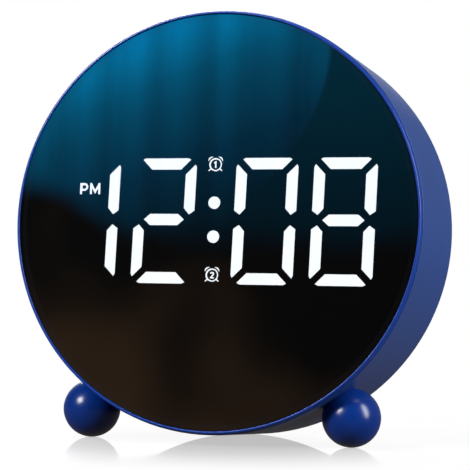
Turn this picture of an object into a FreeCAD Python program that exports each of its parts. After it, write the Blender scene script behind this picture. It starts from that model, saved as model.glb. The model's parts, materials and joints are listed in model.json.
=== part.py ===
import FreeCAD, Part
import math
import os
import Sketcher
from FreeCAD import Placement, Rotation, Vector

# A round mirror-faced LED alarm clock on two ball feet, in millimetres.
#
# Every piece is drawn in the frame of the clock's own face: X to the right, Y up the
# face, Z straight out of it towards the reader, with the front of the rim at Z = 0 and
# everything else behind it. The finished clock is then stood up by one Placement: it
# leans back until the ball feet and the lower rear edge of the case share one table.

doc = FreeCAD.newDocument("MirrorAlarmClock")
sheet = doc.addObject("Spreadsheet::Sheet", "Sizes")


class Length:
    """A size: its value in millimetres and the expression that ties it to the sheet."""

    def __init__(self, value, text):
        self.value = value
        self.text = text

    def __add__(self, other):
        other = as_length(other)
        return Length(self.value + other.value, f"({self.text} + {other.text})")

    def __sub__(self, other):
        other = as_length(other)
        return Length(self.value - other.value, f"({self.text} - {other.text})")

    def __mul__(self, other):
        other = as_length(other)
        return Length(self.value * other.value, f"({self.text} * {other.text})")

    def __truediv__(self, other):
        other = as_length(other)
        return Length(self.value / other.value, f"({self.text} / {other.text})")

    def __neg__(self):
        return Length(-self.value, f"(0 - {self.text})")


def as_length(number):
    return number if isinstance(number, Length) else Length(number, repr(float(number)))


def sine(angle):
    return Length(math.sin(math.radians(angle.value)), f"sin({angle.text} * 1 deg)")


def cosine(angle):
    return Length(math.cos(math.radians(angle.value)), f"cos({angle.text} * 1 deg)")


def diagonal(width, height):
    across = math.hypot(width.value, height.value)
    return Length(across, f"sqrt({width.text} ^ 2 + {height.text} ^ 2)")


ZERO = as_length(0)
sheet_rows = []


def size(alias, value, meaning):
    """Writes one driving dimension to the sheet and hands it back."""
    row = len(sheet_rows) + 1
    sheet_rows.append(alias)
    sheet.set(f"A{row}", meaning)
    sheet.set(f"B{row}", str(value))
    sheet.setAlias(f"B{row}", alias)
    return Length(float(value), f"Sizes.{alias}")


# ---------------------------------------------------------------- driving dimensions

case_radius = size("case_radius", 80, "outside radius of the drum case")
case_depth = size("case_depth", 57, "front of the rim to the rear edge of the case")
case_wall = size("case_wall", 2.4, "wall of the drum case")
rear_edge_radius = size("rear_edge_radius", 2, "rounding of the case's rear edge")
front_edge_radius = size("front_edge_radius", 0.3, "rounding of the case's front edge")
rear_lip_width = size("rear_lip_width", 3.8, "width of the case's rear end face")

rim_step = size("rim_step", 0.4, "how far the rim stands inside the case's outside")
rim_width = size("rim_width", 1.05, "width of the rim seen from the front")
rim_depth = size("rim_depth", 2.4, "depth of the part of the rim that shows")
rim_outer_rounding = size("rim_outer_rounding", 0.7, "rounding of the rim's outer edge")
rim_inner_rounding = size("rim_inner_rounding", 0.3, "rounding of the rim's inner edge")
ledge_width = size("ledge_width", 2.8, "ledge of the bezel that carries the lens")
spigot_length = size("spigot_length", 6, "how far the bezel reaches into the case")
spigot_clearance = size("spigot_clearance", 0.15, "gap between bezel spigot and case")

lens_recess = size("lens_recess", 0.3, "front of the rim to the front of the lens")
lens_thickness = size("lens_thickness", 1.2, "thickness of the mirror lens")
lens_clearance = size("lens_clearance", 0.3, "gap around the lens")
tape_thickness = size("tape_thickness", 0.2, "foam tape between lens and ledge")
tape_margin = size("tape_margin", 0.4, "tape set back from both edges of its ledge")

mask_gap = size("mask_gap", 0.1, "back of the lens to the front of the black mask")
mask_thickness = size("mask_thickness", 0.4, "thickness of the black mask")
bore_clearance = size("bore_clearance", 0.2, "gap around mask and reflector in the bezel")
reflector_flange = size("reflector_flange", 1.2, "thickness of the reflector's flange")
window_clearance = size("window_clearance", 0.1, "gap around a light window's insert")
insert_length = size("insert_length", 2.6, "depth of a milky light insert")
insert_shelf = size("insert_shelf", 0.5, "shelf of the reflector under an insert")
small_well_radius = size("small_well_radius", 0.65, "light well of a letter or icon")
hollow_inset = size("hollow_inset", 3, "hollow back inside the display board's edge")
hollow_floor = size("hollow_floor", 2, "front wall of the reflector's hollow back")
hollow_start = size("hollow_start", 28, "hollow back starts above and below the middle")
hollow_boss_radius = size("hollow_boss_radius", 4, "screw boss in the hollow back")

display_height = size("display_height", 0.5, "middle of the figures above the axis")
hour_tens_x = size("hour_tens_x", -50.5, "centre of the first figure")
hour_units_x = size("hour_units_x", -19.9, "centre of the second figure")
minute_tens_x = size("minute_tens_x", 19.9, "centre of the third figure")
minute_units_x = size("minute_units_x", 50.1, "centre of the fourth figure")
figure_half_width = size("figure_half_width", 12, "half the width of a figure")
figure_upper = size("figure_upper", 23.2, "height of a figure above its middle bar")
figure_lower = size("figure_lower", 24.1, "height of a figure below its middle bar")
figure_stroke = size("figure_stroke", 4.15, "width of a figure's bar")
figure_setback = size("figure_setback", 2, "how far a bar stops short of a corner")
figure_blunt = size("figure_blunt", 0.48, "blunting of a bar's outer tip")
figure_shoulder = size("figure_shoulder", 2.3, "length of an upright bar's pointed end")
figure_outer_shoulder = size("figure_outer_shoulder", 1.45, "that end's outer side")
figure_point = size("figure_point", 2.4, "length of a middle bar's pointed end")
figure_slant = size("figure_slant", 0.024, "slant of the figures, sideways over upwards")
colon_x = size("colon_x", 0, "centre of the colon")
colon_rise = size("colon_rise", 6.4, "each colon dot above or below the middle")
colon_radius = size("colon_radius", 2.3, "radius of a colon dot")
icon_rise = size("icon_rise", 20.8, "each alarm icon above or below the middle")
icon_radius = size("icon_radius", 2.43, "outside radius of an icon's clock face")
icon_stroke = size("icon_stroke", 0.34, "line width of an icon")
icon_thin_stroke = size("icon_thin_stroke", 0.32, "line width of its feet and figure")
icon_reach = size("icon_reach", 3.52, "how far an icon's bells and feet reach")
icon_bell_radius = size("icon_bell_radius", 1.4, "radius of an icon's bell")
icon_bell_gap = size("icon_bell_gap", 0.66, "gap between an icon's bell and its face")
icon_bell_angle = size("icon_bell_angle", 42, "bell out from straight up, in degrees")
icon_foot_angle = size("icon_foot_angle", 48, "foot out from straight down, in degrees")
icon_figure_height = size("icon_figure_height", 2.35, "height of the figure in an icon")
icon_flag = size("icon_flag", 0.55, "flag of the figure one in an icon")
icon_bend = size("icon_bend", 0.55, "bend of the figure two in an icon")
icon_bow_start = size("icon_bow_start", 170, "start of that bend, in degrees from right")
icon_bow_end = size("icon_bow_end", -40, "end of that bend, in degrees from right")
letter_height = size("letter_height", 4.2, "height of the afternoon letters")
letter_stroke = size("letter_stroke", 0.68, "line width of the afternoon letters")
letter_left = size("letter_left", -54.4, "left edge of the afternoon letters")
letter_rise = size("letter_rise", 9.65, "foot of the letters above the figures' middle")
letter_bowl = size("letter_bowl", 1.1, "radius of the first letter's bowl")
letter_straight = size("letter_straight", 1.4, "straight part before that bowl")
letter_pitch = size("letter_pitch", 4.1, "first letter's stem to the second's")
letter_span = size("letter_span", 3.4, "between the stems of the second letter")
letter_dip = size("letter_dip", 0.85, "second letter's dip above its foot")
letter_well_rise = size("letter_well_rise", 0.9, "light well above a letter's foot")

board_thickness = size("board_thickness", 1.6, "thickness of every circuit board")
display_board_gap = size("display_board_gap", 7.6, "display board to the case's bore")
led_length = size("led_length", 1, "length of a light-emitting diode")
led_width = size("led_width", 0.6, "width of a light-emitting diode")
led_height = size("led_height", 0.5, "height of a light-emitting diode")
display_screw_inset = size("display_screw_inset", 6, "display screws in from its edge")
connector_width = size("connector_width", 16, "width of a ribbon connector")
connector_height = size("connector_height", 4, "height of a ribbon connector")
connector_depth = size("connector_depth", 3.2, "how far a connector stands off its board")
display_plug_y = size("display_plug_y", 26, "display board's connector above the axis")
main_plug_y = size("main_plug_y", 14, "main board's connector above the axis")
ribbon_width = size("ribbon_width", 14, "width of the ribbon cable")
ribbon_thickness = size("ribbon_thickness", 0.6, "thickness of the ribbon cable")
ribbon_bend = size("ribbon_bend", 5, "bend radius of the ribbon cable")

rib_count = size("rib_count", 6, "clamp ribs that hold the display stack")
rib_width = size("rib_width", 2.4, "width of a clamp rib")
rib_height = size("rib_height", 4, "how far a clamp rib stands off the wall")
rib_length = size("rib_length", 10, "length of a clamp rib")

cover_thickness = size("cover_thickness", 2.4, "thickness of the rear cover")
cover_recess = size("cover_recess", 0.6, "rear cover below the case's rear end face")
cover_clearance = size("cover_clearance", 0.2, "gap around the rear cover")
cover_edge_chamfer = size("cover_edge_chamfer", 0.4, "chamfer of the rear cover's edge")
cover_ledge_width = size("cover_ledge_width", 8.7, "cover's ledge in from its seat")
ledge_thickness = size("ledge_thickness", 2, "thickness of the cover's ledge")
cover_screw_inset = size("cover_screw_inset", 4.7, "cover screws in from its seat")
cover_boss_radius = size("cover_boss_radius", 4, "radius of a cover screw boss")
cover_boss_length = size("cover_boss_length", 10, "length of a cover screw boss")

screw_radius = size("screw_radius", 1.3, "shank radius of every case screw")
screw_head_radius = size("screw_head_radius", 2.6, "head radius of every case screw")
screw_head_height = size("screw_head_height", 1.4, "head height of every case screw")
screw_length = size("screw_length", 8, "shank length of every case screw")
screw_fit = size("screw_fit", 0.05, "gap between a screw and its pilot hole")
screw_hole_gap = size("screw_hole_gap", 0.3, "gap between a screw and a clear hole")
slot_width = size("slot_width", 0.6, "width of the cross slot in a screw head")
slot_share = size("slot_share", 1.4, "length of that slot over the head's radius")
slot_depth = size("slot_depth", 0.7, "depth of the cross slot in a screw head")
hole_spare = size("hole_spare", 0.5, "pilot hole deeper than its screw")

main_board_gap = size("main_board_gap", 10, "front of the main board to the cover")
board_width = size("board_width", 100, "width of the main board")
board_height = size("board_height", 30, "height of the main board")
board_leg_width = size("board_leg_width", 26, "width of the main board's leg")
board_leg_bottom = size("board_leg_bottom", 38, "foot of that leg below the axis")
board_screw_x = size("board_screw_x", 44, "main board screws to the side of the axis")
board_screw_inset = size("board_screw_inset", 5, "board screws in from the long edges")
post_radius = size("post_radius", 3, "radius of a screw post")

button_row_y = size("button_row_y", 22, "row of rear buttons above the axis")
button_pitch = size("button_pitch", 16, "distance between rear buttons")
button_radius = size("button_radius", 4.5, "radius of a rear button's cap")
button_gap = size("button_gap", 0.3, "gap around and behind a button")
button_proud = size("button_proud", 0.5, "cap above the rear cover")
button_travel = size("button_travel", 0.6, "travel of a rear button")
button_flange = size("button_flange", 1.1, "flange wider than the cap's hole")
button_flange_thickness = size("button_flange_thickness", 1, "thickness of that flange")
button_rounding = size("button_rounding", 0.4, "rounding of a button's cap")
plunger_radius = size("plunger_radius", 1.7, "radius of a switch plunger and stem")
plunger_length = size("plunger_length", 2.2, "length of a switch plunger")
switch_width = size("switch_width", 6, "width of a push switch")
switch_height = size("switch_height", 3.5, "height of a push switch")
switch_bore_gap = size("switch_bore_gap", 0.3, "gap around a plunger in its switch")
switch_spare = size("switch_spare", 0.2, "room under a plunger at the end of its travel")
switch_floor = size("switch_floor", 1.2, "floor of a push switch under its plunger")

snooze_length = size("snooze_length", 44, "length of the snooze bar")
snooze_width = size("snooze_width", 12, "width of the snooze bar")
snooze_proud = size("snooze_proud", 0.9, "snooze bar above the case")
snooze_depth = size("snooze_depth", 28, "front of the rim to the snooze bar's middle")
snooze_travel = size("snooze_travel", 0.8, "travel of the snooze bar")
snooze_flange = size("snooze_flange", 2, "snooze bar's flange wider than its cap")
snooze_flange_thickness = size("snooze_flange_thickness", 1.2, "thickness of that flange")
snooze_board_drop = size("snooze_board_drop", 13.6, "case's bore to that board's foot")
snooze_board_length = size("snooze_board_length", 70, "length of the snooze board")
snooze_post_inset = size("snooze_post_inset", 4, "posts in from that board's ends")
snooze_screw_length = size("snooze_screw_length", 5, "shank length of a snooze screw")

usb_y = size("usb_y", -30, "power inlet below the axis")
usb_width = size("usb_width", 8.94, "width of the power inlet's shell")
usb_height = size("usb_height", 3.26, "height of the power inlet's shell")
usb_wall = size("usb_wall", 0.3, "wall of the power inlet's shell")
usb_floor = size("usb_floor", 3.2, "solid foot of the power inlet")
usb_tongue_width = size("usb_tongue_width", 6.6, "width of the inlet's tongue")
usb_tongue_height = size("usb_tongue_height", 0.7, "height of the inlet's tongue")
usb_tongue_recess = size("usb_tongue_recess", 1.2, "tongue inside the inlet's mouth")
usb_recess = size("usb_recess", 0.2, "mouth of the inlet below the rear cover")
usb_gap = size("usb_gap", 0.3, "gap around the inlet in the rear cover")

speaker_angle = size("speaker_angle", 36, "speaker down from level, in degrees")
speaker_ledge_gap = size("speaker_ledge_gap", 7.4, "speaker's collar to the cover's ledge")
speaker_radius = size("speaker_radius", 14, "radius of the speaker's frame")
speaker_frame_depth = size("speaker_frame_depth", 3.4, "depth of the speaker's frame")
speaker_rim = size("speaker_rim", 1.5, "rim of the speaker's frame")
speaker_back = size("speaker_back", 1, "back plate of the speaker's frame")
magnet_radius = size("magnet_radius", 8, "radius of the speaker's magnet")
magnet_depth = size("magnet_depth", 2.6, "depth of the speaker's magnet")
cone_depth = size("cone_depth", 1.6, "depth of the speaker's cone")
cone_throat = size("cone_throat", 4, "radius of the cone's throat")
cone_wall = size("cone_wall", 0.5, "wall of the speaker's cone")
speaker_gap = size("speaker_gap", 0.3, "gap around the speaker and its cone")
speaker_collar_wall = size("speaker_collar_wall", 1.4, "wall of the speaker's collar")
speaker_collar_height = size("speaker_collar_height", 4, "height of that collar")
grille_hole_radius = size("grille_hole_radius", 0.9, "radius of a grille hole")
grille_pitch = size("grille_pitch", 3.6, "distance between the grille's rings")
grille_rings = size("grille_rings", 3, "rings of grille holes round the middle one")

cell_angle = size("cell_angle", 36, "coin cell down from level, in degrees")
tray_ledge_gap = size("tray_ledge_gap", 1.9, "battery tray to the cover's ledge")
cell_radius = size("cell_radius", 10, "radius of the coin cell")
cell_thickness = size("cell_thickness", 3.2, "thickness of the coin cell")
cell_rim = size("cell_rim", 0.5, "step of the coin cell's edge")
cell_gap = size("cell_gap", 0.7, "gap around the coin cell in its well")
contact_thickness = size("contact_thickness", 0.3, "thickness of a cell contact")
contact_width = size("contact_width", 4, "width of a cell contact")
contact_setback = size("contact_setback", 0.15, "positive contact off the cell's side")
contact_lip = size("contact_lip", 1.2, "positive contact's lip over the cell")
tray_width = size("tray_width", 36, "width of the battery tray")
tray_height = size("tray_height", 30, "height of the battery tray")
tray_floor = size("tray_floor", 1.2, "floor of the battery tray")
door_width = size("door_width", 33, "width of the battery door")
door_height = size("door_height", 25, "height of the battery door")
door_thickness = size("door_thickness", 1.5, "thickness of the battery door")
door_corner = size("door_corner", 2.5, "corner rounding of the battery door")
door_gap = size("door_gap", 0.2, "gap around the battery door")
cell_play = size("cell_play", 0.4, "battery door to the contact on the coin cell")
door_screw_x = size("door_screw_x", 13.2, "door screw to the side of the cell")
door_screw_radius = size("door_screw_radius", 0.8, "shank radius of the door screw")
door_screw_head = size("door_screw_head", 1.7, "head radius of the door screw")
door_screw_head_height = size("door_screw_head_height", 0.7, "head of the door screw")
door_screw_length = size("door_screw_length", 4, "shank length of the door screw")
grip_width = size("grip_width", 0.6, "width of a finger groove in the door")
grip_length = size("grip_length", 12, "length of a finger groove in the door")
grip_depth = size("grip_depth", 0.5, "depth of a finger groove in the door")
grip_pitch = size("grip_pitch", 1.5, "distance between finger grooves")
grip_count = size("grip_count", 3, "finger grooves in the battery door")

chip_width = size("chip_width", 10, "width of the clock chip")
chip_height = size("chip_height", 1.6, "height of the clock chip")
chip_x = size("chip_x", -26, "clock chip to the side of the axis")
chip_y = size("chip_y", 24, "clock chip above the axis")
crystal_length = size("crystal_length", 11, "length of the crystal's can")
crystal_width = size("crystal_width", 4.6, "width of the crystal's can")
crystal_height = size("crystal_height", 3.6, "height of the crystal's can")
crystal_y = size("crystal_y", 12, "crystal above the axis")
capacitor_x = size("capacitor_x", 28, "capacitor to the side of the axis")
capacitor_radius = size("capacitor_radius", 4, "radius of the capacitor")
capacitor_length = size("capacitor_length", 9, "length of the capacitor")
wire_radius = size("wire_radius", 0.6, "radius of an insulated wire")
wire_pitch = size("wire_pitch", 1.6, "distance between two paired wires")
wire_inset = size("wire_inset", 3, "end of a wire in from the edge of what it joins")

foot_radius = size("foot_radius", 11, "radius of a ball foot")
foot_angle = size("foot_angle", 35.8, "ball foot out from straight down, in degrees")
foot_setback = size("foot_setback", 16, "front of the rim to a ball foot's centre")
foot_sink = size("foot_sink", 2.6, "how deep a ball foot is cut for the case")
foot_seat_gap = size("foot_seat_gap", 0.05, "glue line between a ball foot and the case")

# ------------------------------------------------------- sizes that follow from those

case_bore = case_radius - case_wall
rim_radius = case_radius - rim_step
lens_opening = rim_radius - rim_width
lens_radius = lens_opening - lens_clearance
lens_back = lens_recess + lens_thickness
ledge_front = lens_back + tape_thickness
ledge_bore = lens_opening - ledge_width
spigot_radius = case_bore - spigot_clearance
spigot_end = rim_depth + spigot_length
mask_front = lens_back + mask_gap
mask_back = mask_front + mask_thickness
mask_radius = ledge_bore - bore_clearance
reflector_back = spigot_end + reflector_flange
insert_back = mask_front + insert_length
display_board_back = reflector_back + board_thickness
display_board_radius = case_bore - display_board_gap
display_screw_spread = (display_board_radius - display_screw_inset) * math.sqrt(0.5)
hollow_radius = display_board_radius - hollow_inset
cover_back = case_depth - cover_recess
cover_front = cover_back - cover_thickness
cover_seat_radius = case_radius - rear_lip_width
cover_radius = cover_seat_radius - cover_clearance
cover_screw_circle = cover_seat_radius - cover_screw_inset
ledge_inner_radius = cover_seat_radius - cover_ledge_width
main_board_depth = cover_front - main_board_gap
main_board_back = main_board_depth + board_thickness
screw_pilot = screw_radius + screw_fit
screw_clear = screw_radius + screw_hole_gap
screw_head_hole = screw_head_radius + screw_hole_gap
button_hole = button_radius + button_gap
button_flange_radius = button_hole + button_flange
switch_bore = plunger_radius + switch_bore_gap
snooze_board_y = case_bore - snooze_board_drop
snooze_board_top = snooze_board_y + board_thickness
snooze_post_x = snooze_board_length / 2 - snooze_post_inset
speaker_collar_radius = speaker_radius + speaker_gap + speaker_collar_wall
speaker_reach = ledge_inner_radius - speaker_ledge_gap - speaker_collar_radius
speaker_x = -(speaker_reach * cosine(speaker_angle))
speaker_y = -(speaker_reach * sine(speaker_angle))
cell_reach = ledge_inner_radius - tray_ledge_gap - diagonal(tray_width, tray_height) / 2
cell_x = cell_reach * cosine(cell_angle)
cell_y = -(cell_reach * sine(cell_angle))
foot_reach = case_radius + foot_radius - foot_sink
foot_sine = sine(foot_angle)
foot_cosine = cosine(foot_angle)
foot_drop = (foot_reach * foot_cosine).value


def lean_angle():
    """Angle that the clock leans back, in radians.

    The ball feet and the rounded rear edge of the case touch one plane, so the line
    from a ball's centre to the centre of that rounding falls by the difference of
    their radii.
    """
    run = (case_depth - rear_edge_radius - foot_setback).value
    rise = (case_radius - rear_edge_radius).value - foot_drop
    fall = (foot_radius - rear_edge_radius).value
    return math.asin(fall / math.hypot(run, rise)) - math.atan2(rise, run)


def standing_placement():
    """Stands the face frame on the table, with the clock's box centred on the origin."""
    lean = lean_angle()
    edge = rim_outer_rounding.value
    front = -(rim_radius.value - edge) * math.sin(lean) + edge * math.cos(lean) - edge
    corner = rear_edge_radius.value
    rear = (
        (case_radius.value - corner) * math.sin(lean)
        + (case_depth.value - corner) * math.cos(lean)
        + corner
    )
    height = (
        foot_radius.value
        + foot_drop * math.cos(lean)
        + foot_setback.value * math.sin(lean)
    )
    upright = Rotation(Vector(1, 0, 0), 90 - math.degrees(lean))
    return Placement(Vector(0, -(front + rear) / 2, height), upright)


# ------------------------------------------------------------------- document helpers

RIGHT = Vector(1, 0, 0)
UP = Vector(0, 1, 0)
FORWARD = Vector(0, 0, 1)
BACKWARD = Vector(0, 0, -1)
ARC_STEPS = 8  # straight pieces in each small drawn arc of the letters and figures
nodes = []


def node(label, part):
    """Names a finished sub-part, which is then a node of the clock.

    A primitive whose place is tied to the sheet is held in a group of its own, so that
    the group is free to carry the placement that stands the clock up.
    """
    if any("Placement" in path for path, _ in part.ExpressionEngine):
        part.Label = f"{label}_solid"
        part = group(f"{label}_piece", [part])
    part.Label = label
    nodes.append(part)


def new_body(name):
    return doc.addObject("PartDesign::Body", name)


def origin_feature(body, role):
    for feature in body.Origin.OriginFeatures:
        if feature.Role == role:
            return feature
    raise ValueError(f"{body.Name} has no {role}")


def face_sketch(body, name, depth):
    """A sketch parallel to the clock's face, DEPTH behind the front of the rim."""
    sketch = body.newObject("Sketcher::SketchObject", name)
    sketch.AttachmentSupport = [(origin_feature(body, "XY_Plane"), "")]
    sketch.MapMode = "FlatFace"
    sketch.setExpression("AttachmentOffset.Base.z", (-depth).text)
    return sketch


def hold(sketch, kind, items, length):
    """Adds one dimension to a sketch and ties it to the sheet."""
    index = sketch.addConstraint(Sketcher.Constraint(kind, *items, length.value))
    sketch.setExpression(f"Constraints[{index}]", length.text)


def hold_point(sketch, geometry, point, x, y):
    """Places a sketch point at X, Y from the axis of the clock."""
    for kind, axis, length in (("DistanceX", -2, x), ("DistanceY", -1, y)):
        if length.value == 0:
            on_axis = Sketcher.Constraint("PointOnObject", geometry, point, axis)
            sketch.addConstraint(on_axis)
        else:
            hold(sketch, kind, (-1, 1, geometry, point), length)


def circle(sketch, radius, x=ZERO, y=ZERO):
    centre = Vector(x.value, y.value, 0)
    index = sketch.addGeometry(Part.Circle(centre, FORWARD, radius.value))
    hold(sketch, "Radius", (index,), radius)
    hold_point(sketch, index, 3, x, y)


def rectangle(sketch, width, height, x=ZERO, y=ZERO):
    """An upright rectangle with its centre at X, Y."""
    left = x.value - width.value / 2
    right = x.value + width.value / 2
    low = y.value - height.value / 2
    high = y.value + height.value / 2
    corners = [Vector(left, low), Vector(right, low), Vector(right, high), Vector(left, high)]
    sides = []
    for start, end in zip(corners, corners[1:] + corners[:1]):
        sides.append(sketch.addGeometry(Part.LineSegment(start, end)))
    for side, following in zip(sides, sides[1:] + sides[:1]):
        sketch.addConstraint(Sketcher.Constraint("Coincident", side, 2, following, 1))
    for side, kind in zip(sides, ("Horizontal", "Vertical", "Horizontal", "Vertical")):
        sketch.addConstraint(Sketcher.Constraint(kind, side))
    hold(sketch, "DistanceX", (sides[0], 1, sides[0], 2), width)
    hold(sketch, "DistanceY", (sides[1], 1, sides[1], 2), height)
    middle = sketch.addGeometry(Part.Point(Vector(x.value, y.value, 0)), True)
    opposite = (sides[0], 1, sides[1], 2, middle, 1)
    sketch.addConstraint(Sketcher.Constraint("Symmetric", *opposite))
    hold_point(sketch, middle, 1, x, y)


def stadium(sketch, width, height, x=ZERO, y=ZERO):
    """A lying stadium, round at both ends, with its centre at X, Y."""
    radius = height / 2
    half = (width - height) / 2
    ends = []
    for side, start in ((-1, math.pi / 2), (1, -math.pi / 2)):
        centre = Vector(x.value + side * half.value, y.value, 0)
        arc = Part.ArcOfCircle(
            Part.Circle(centre, FORWARD, radius.value), start, start + math.pi
        )
        ends.append(sketch.addGeometry(arc))
    sides = []
    for sign in (1, -1):
        left = Vector(x.value - half.value, y.value + sign * radius.value, 0)
        right = Vector(x.value + half.value, y.value + sign * radius.value, 0)
        sides.append(sketch.addGeometry(Part.LineSegment(left, right)))
    meetings = (
        (ends[0], 1, sides[0], 1),
        (ends[1], 2, sides[0], 2),
        (ends[0], 2, sides[1], 1),
        (ends[1], 1, sides[1], 2),
    )
    for meeting in meetings:
        sketch.addConstraint(Sketcher.Constraint("Tangent", *meeting))
    sketch.addConstraint(Sketcher.Constraint("Equal", ends[0], ends[1]))
    hold(sketch, "Radius", (ends[0],), radius)
    hold_point(sketch, ends[0], 3, x - half, y)
    hold(sketch, "DistanceX", (ends[0], 3, ends[1], 3), half * 2)
    sketch.addConstraint(Sketcher.Constraint("Horizontal", sides[0]))


def pad(body, name, depth, length, draw):
    """Adds material from DEPTH behind the rim forwards by LENGTH."""
    sketch = face_sketch(body, f"{name}_outline", depth)
    draw(sketch)
    feature = body.newObject("PartDesign::Pad", name)
    feature.Profile = sketch
    feature.setExpression("Length", length.text)
    doc.recompute()
    return feature


def pocket(body, name, depth, length, draw):
    """Cuts from DEPTH behind the rim forwards by LENGTH, and proves that it cut."""
    before = body.Shape.Volume
    sketch = face_sketch(body, f"{name}_outline", depth)
    draw(sketch)
    feature = body.newObject("PartDesign::Pocket", name)
    feature.Profile = sketch
    feature.Reversed = True
    feature.setExpression("Length", length.text)
    doc.recompute()
    if body.Shape.Volume > before - 1e-6:
        raise ValueError(f"{name} cuts nothing")
    return feature


def ring(sketch, outer, inner):
    circle(sketch, outer)
    circle(sketch, inner)


def is_circle(edge, radius, depth):
    """True for a full circle of this radius, this far behind the rim."""
    curve = edge.Curve
    if not isinstance(curve, Part.Circle):
        return False
    same_radius = abs(curve.Radius - radius.value) < 1e-4
    return same_radius and abs(curve.Center.z + depth.value) < 1e-4


def dress(body, kind, name, amount, wanted):
    """Rounds or chamfers the edges that WANTED picks out of the body so far."""
    base = body.Tip
    edges = [f"Edge{i}" for i, edge in enumerate(base.Shape.Edges, 1) if wanted(edge)]
    if not edges:
        raise ValueError(f"{name} finds no edge")
    feature = body.newObject(kind, name)
    feature.Base = (base, edges)
    feature.setExpression("Radius" if kind.endswith("Fillet") else "Size", amount.text)
    doc.recompute()
    return feature


def place(part, x, y, z, rotation=Rotation()):
    """Puts a primitive at X, Y, Z of the face frame, tied to the sheet."""
    part.Placement = Placement(Vector(x.value, y.value, z.value), rotation)
    for letter, length in (("x", x), ("y", y), ("z", z)):
        part.setExpression(f"Placement.Base.{letter}", length.text)
    return part


def cylinder(name, radius, length, x=ZERO, y=ZERO, z=ZERO, along=FORWARD):
    """A cylinder that starts at X, Y, Z and runs along a direction."""
    part = doc.addObject("Part::Cylinder", name)
    part.setExpression("Radius", radius.text)
    part.setExpression("Height", length.text)
    return place(part, x, y, z, Rotation(FORWARD, along))


def box(name, width, height, depth, x, y, back):
    """A box centred on X, Y that reaches DEPTH forwards from BACK behind the rim."""
    part = doc.addObject("Part::Box", name)
    part.setExpression("Length", width.text)
    part.setExpression("Width", height.text)
    part.setExpression("Height", depth.text)
    return place(part, x - width / 2, y - height / 2, -back)


def fuse(name, parts):
    part = doc.addObject("Part::MultiFuse", name)
    part.Shapes = parts
    return part


def cut(name, base, tools):
    part = doc.addObject("Part::Cut", name)
    part.Base = base
    part.Tool = tools[0] if len(tools) == 1 else fuse(f"{name}_tools", tools)
    return part


def common(name, base, tool):
    part = doc.addObject("Part::Common", name)
    part.Base = base
    part.Tool = tool
    return part


def group(name, parts):
    """Several separate solids that share one node."""
    part = doc.addObject("Part::Compound", name)
    part.Links = parts
    return part


def shaped(name, shape):
    part = doc.addObject("Part::Feature", name)
    part.Shape = shape
    return part


def lying_stadium(name, width, height, length, x, y, back):
    """A solid stadium that reaches LENGTH forwards from BACK behind the rim."""
    half = (width - height) / 2
    parts = [box(f"{name}_middle", half * 2, height, length, x, y, back)]
    for end, centre in (("left", x - half), ("right", x + half)):
        parts.append(cylinder(f"{name}_{end}", height / 2, length, centre, y, -back))
    return fuse(name, parts)


def screw(name, radius, head_radius, head_height, length, seat, along):
    """A pan-head screw whose head sits at SEAT and whose shank runs ALONG."""
    x, y, z = seat
    shank = doc.addObject("Part::Cylinder", f"{name}_shank")
    shank.setExpression("Radius", radius.text)
    shank.setExpression("Height", length.text)
    head = doc.addObject("Part::Cylinder", f"{name}_head")
    head.setExpression("Radius", head_radius.text)
    head.setExpression("Height", head_height.text)
    head.setExpression("Placement.Base.z", (-head_height).text)
    slots = []
    slot_length = head_radius * slot_share
    for turn, (across, upward) in enumerate(((slot_length, slot_width),
                                             (slot_width, slot_length))):
        slot = doc.addObject("Part::Box", f"{name}_slot{turn}")
        slot.setExpression("Length", across.text)
        slot.setExpression("Width", upward.text)
        slot.setExpression("Height", slot_depth.text)
        slot.setExpression("Placement.Base.x", (-across / 2).text)
        slot.setExpression("Placement.Base.y", (-upward / 2).text)
        slot.setExpression("Placement.Base.z", (-head_height).text)
        slots.append(slot)
    blank = fuse(f"{name}_blank", [shank, head])
    part = cut(name, blank, slots)
    part.Placement = Placement(Vector(x, y, z), Rotation(FORWARD, along))
    return part


def case_screw(name, seat, along):
    return screw(
        name, screw_radius, screw_head_radius, screw_head_height, screw_length, seat, along
    )


def corner_points(x, y):
    """The four points at plus and minus X, Y."""
    return [(x * sx, y * sy) for sx in (1, -1) for sy in (1, -1)]


# ------------------------------------------------------------------- bezel and lens


def make_front_bezel():
    """Thin rounded rim, a ledge behind the lens and a spigot that enters the case."""
    body = new_body("front_bezel")
    pad(body, "rim", ledge_front, ledge_front, lambda s: ring(s, rim_radius, lens_opening))
    pad(body, "ledge", rim_depth, rim_depth - ledge_front,
        lambda s: ring(s, rim_radius, ledge_bore))
    pad(body, "spigot", spigot_end, spigot_length,
        lambda s: ring(s, spigot_radius, ledge_bore))
    dress(body, "PartDesign::Fillet", "outer_rounding", rim_outer_rounding,
          lambda e: is_circle(e, rim_radius, ZERO))
    dress(body, "PartDesign::Fillet", "inner_rounding", rim_inner_rounding,
          lambda e: is_circle(e, lens_opening, ZERO))
    node("front_bezel", body)


def make_mirror_lens():
    body = new_body("mirror_lens")
    pad(body, "disc", lens_back, lens_thickness, lambda s: circle(s, lens_radius))
    node("mirror_lens", body)


def make_lens_tape():
    body = new_body("lens_tape")
    outer = lens_opening - tape_margin
    inner = ledge_bore + tape_margin
    pad(body, "tape", ledge_front, tape_thickness, lambda s: ring(s, outer, inner))
    node("lens_tape", body)


# ------------------------------------------------------------------- the lit display


def polygon(points, front):
    """A flat face through the points, FRONT behind the rim."""
    corners = [Vector(x, y, -front) for x, y in points]
    return Part.Face(Part.makePolygon(corners + corners[:1]))


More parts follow.
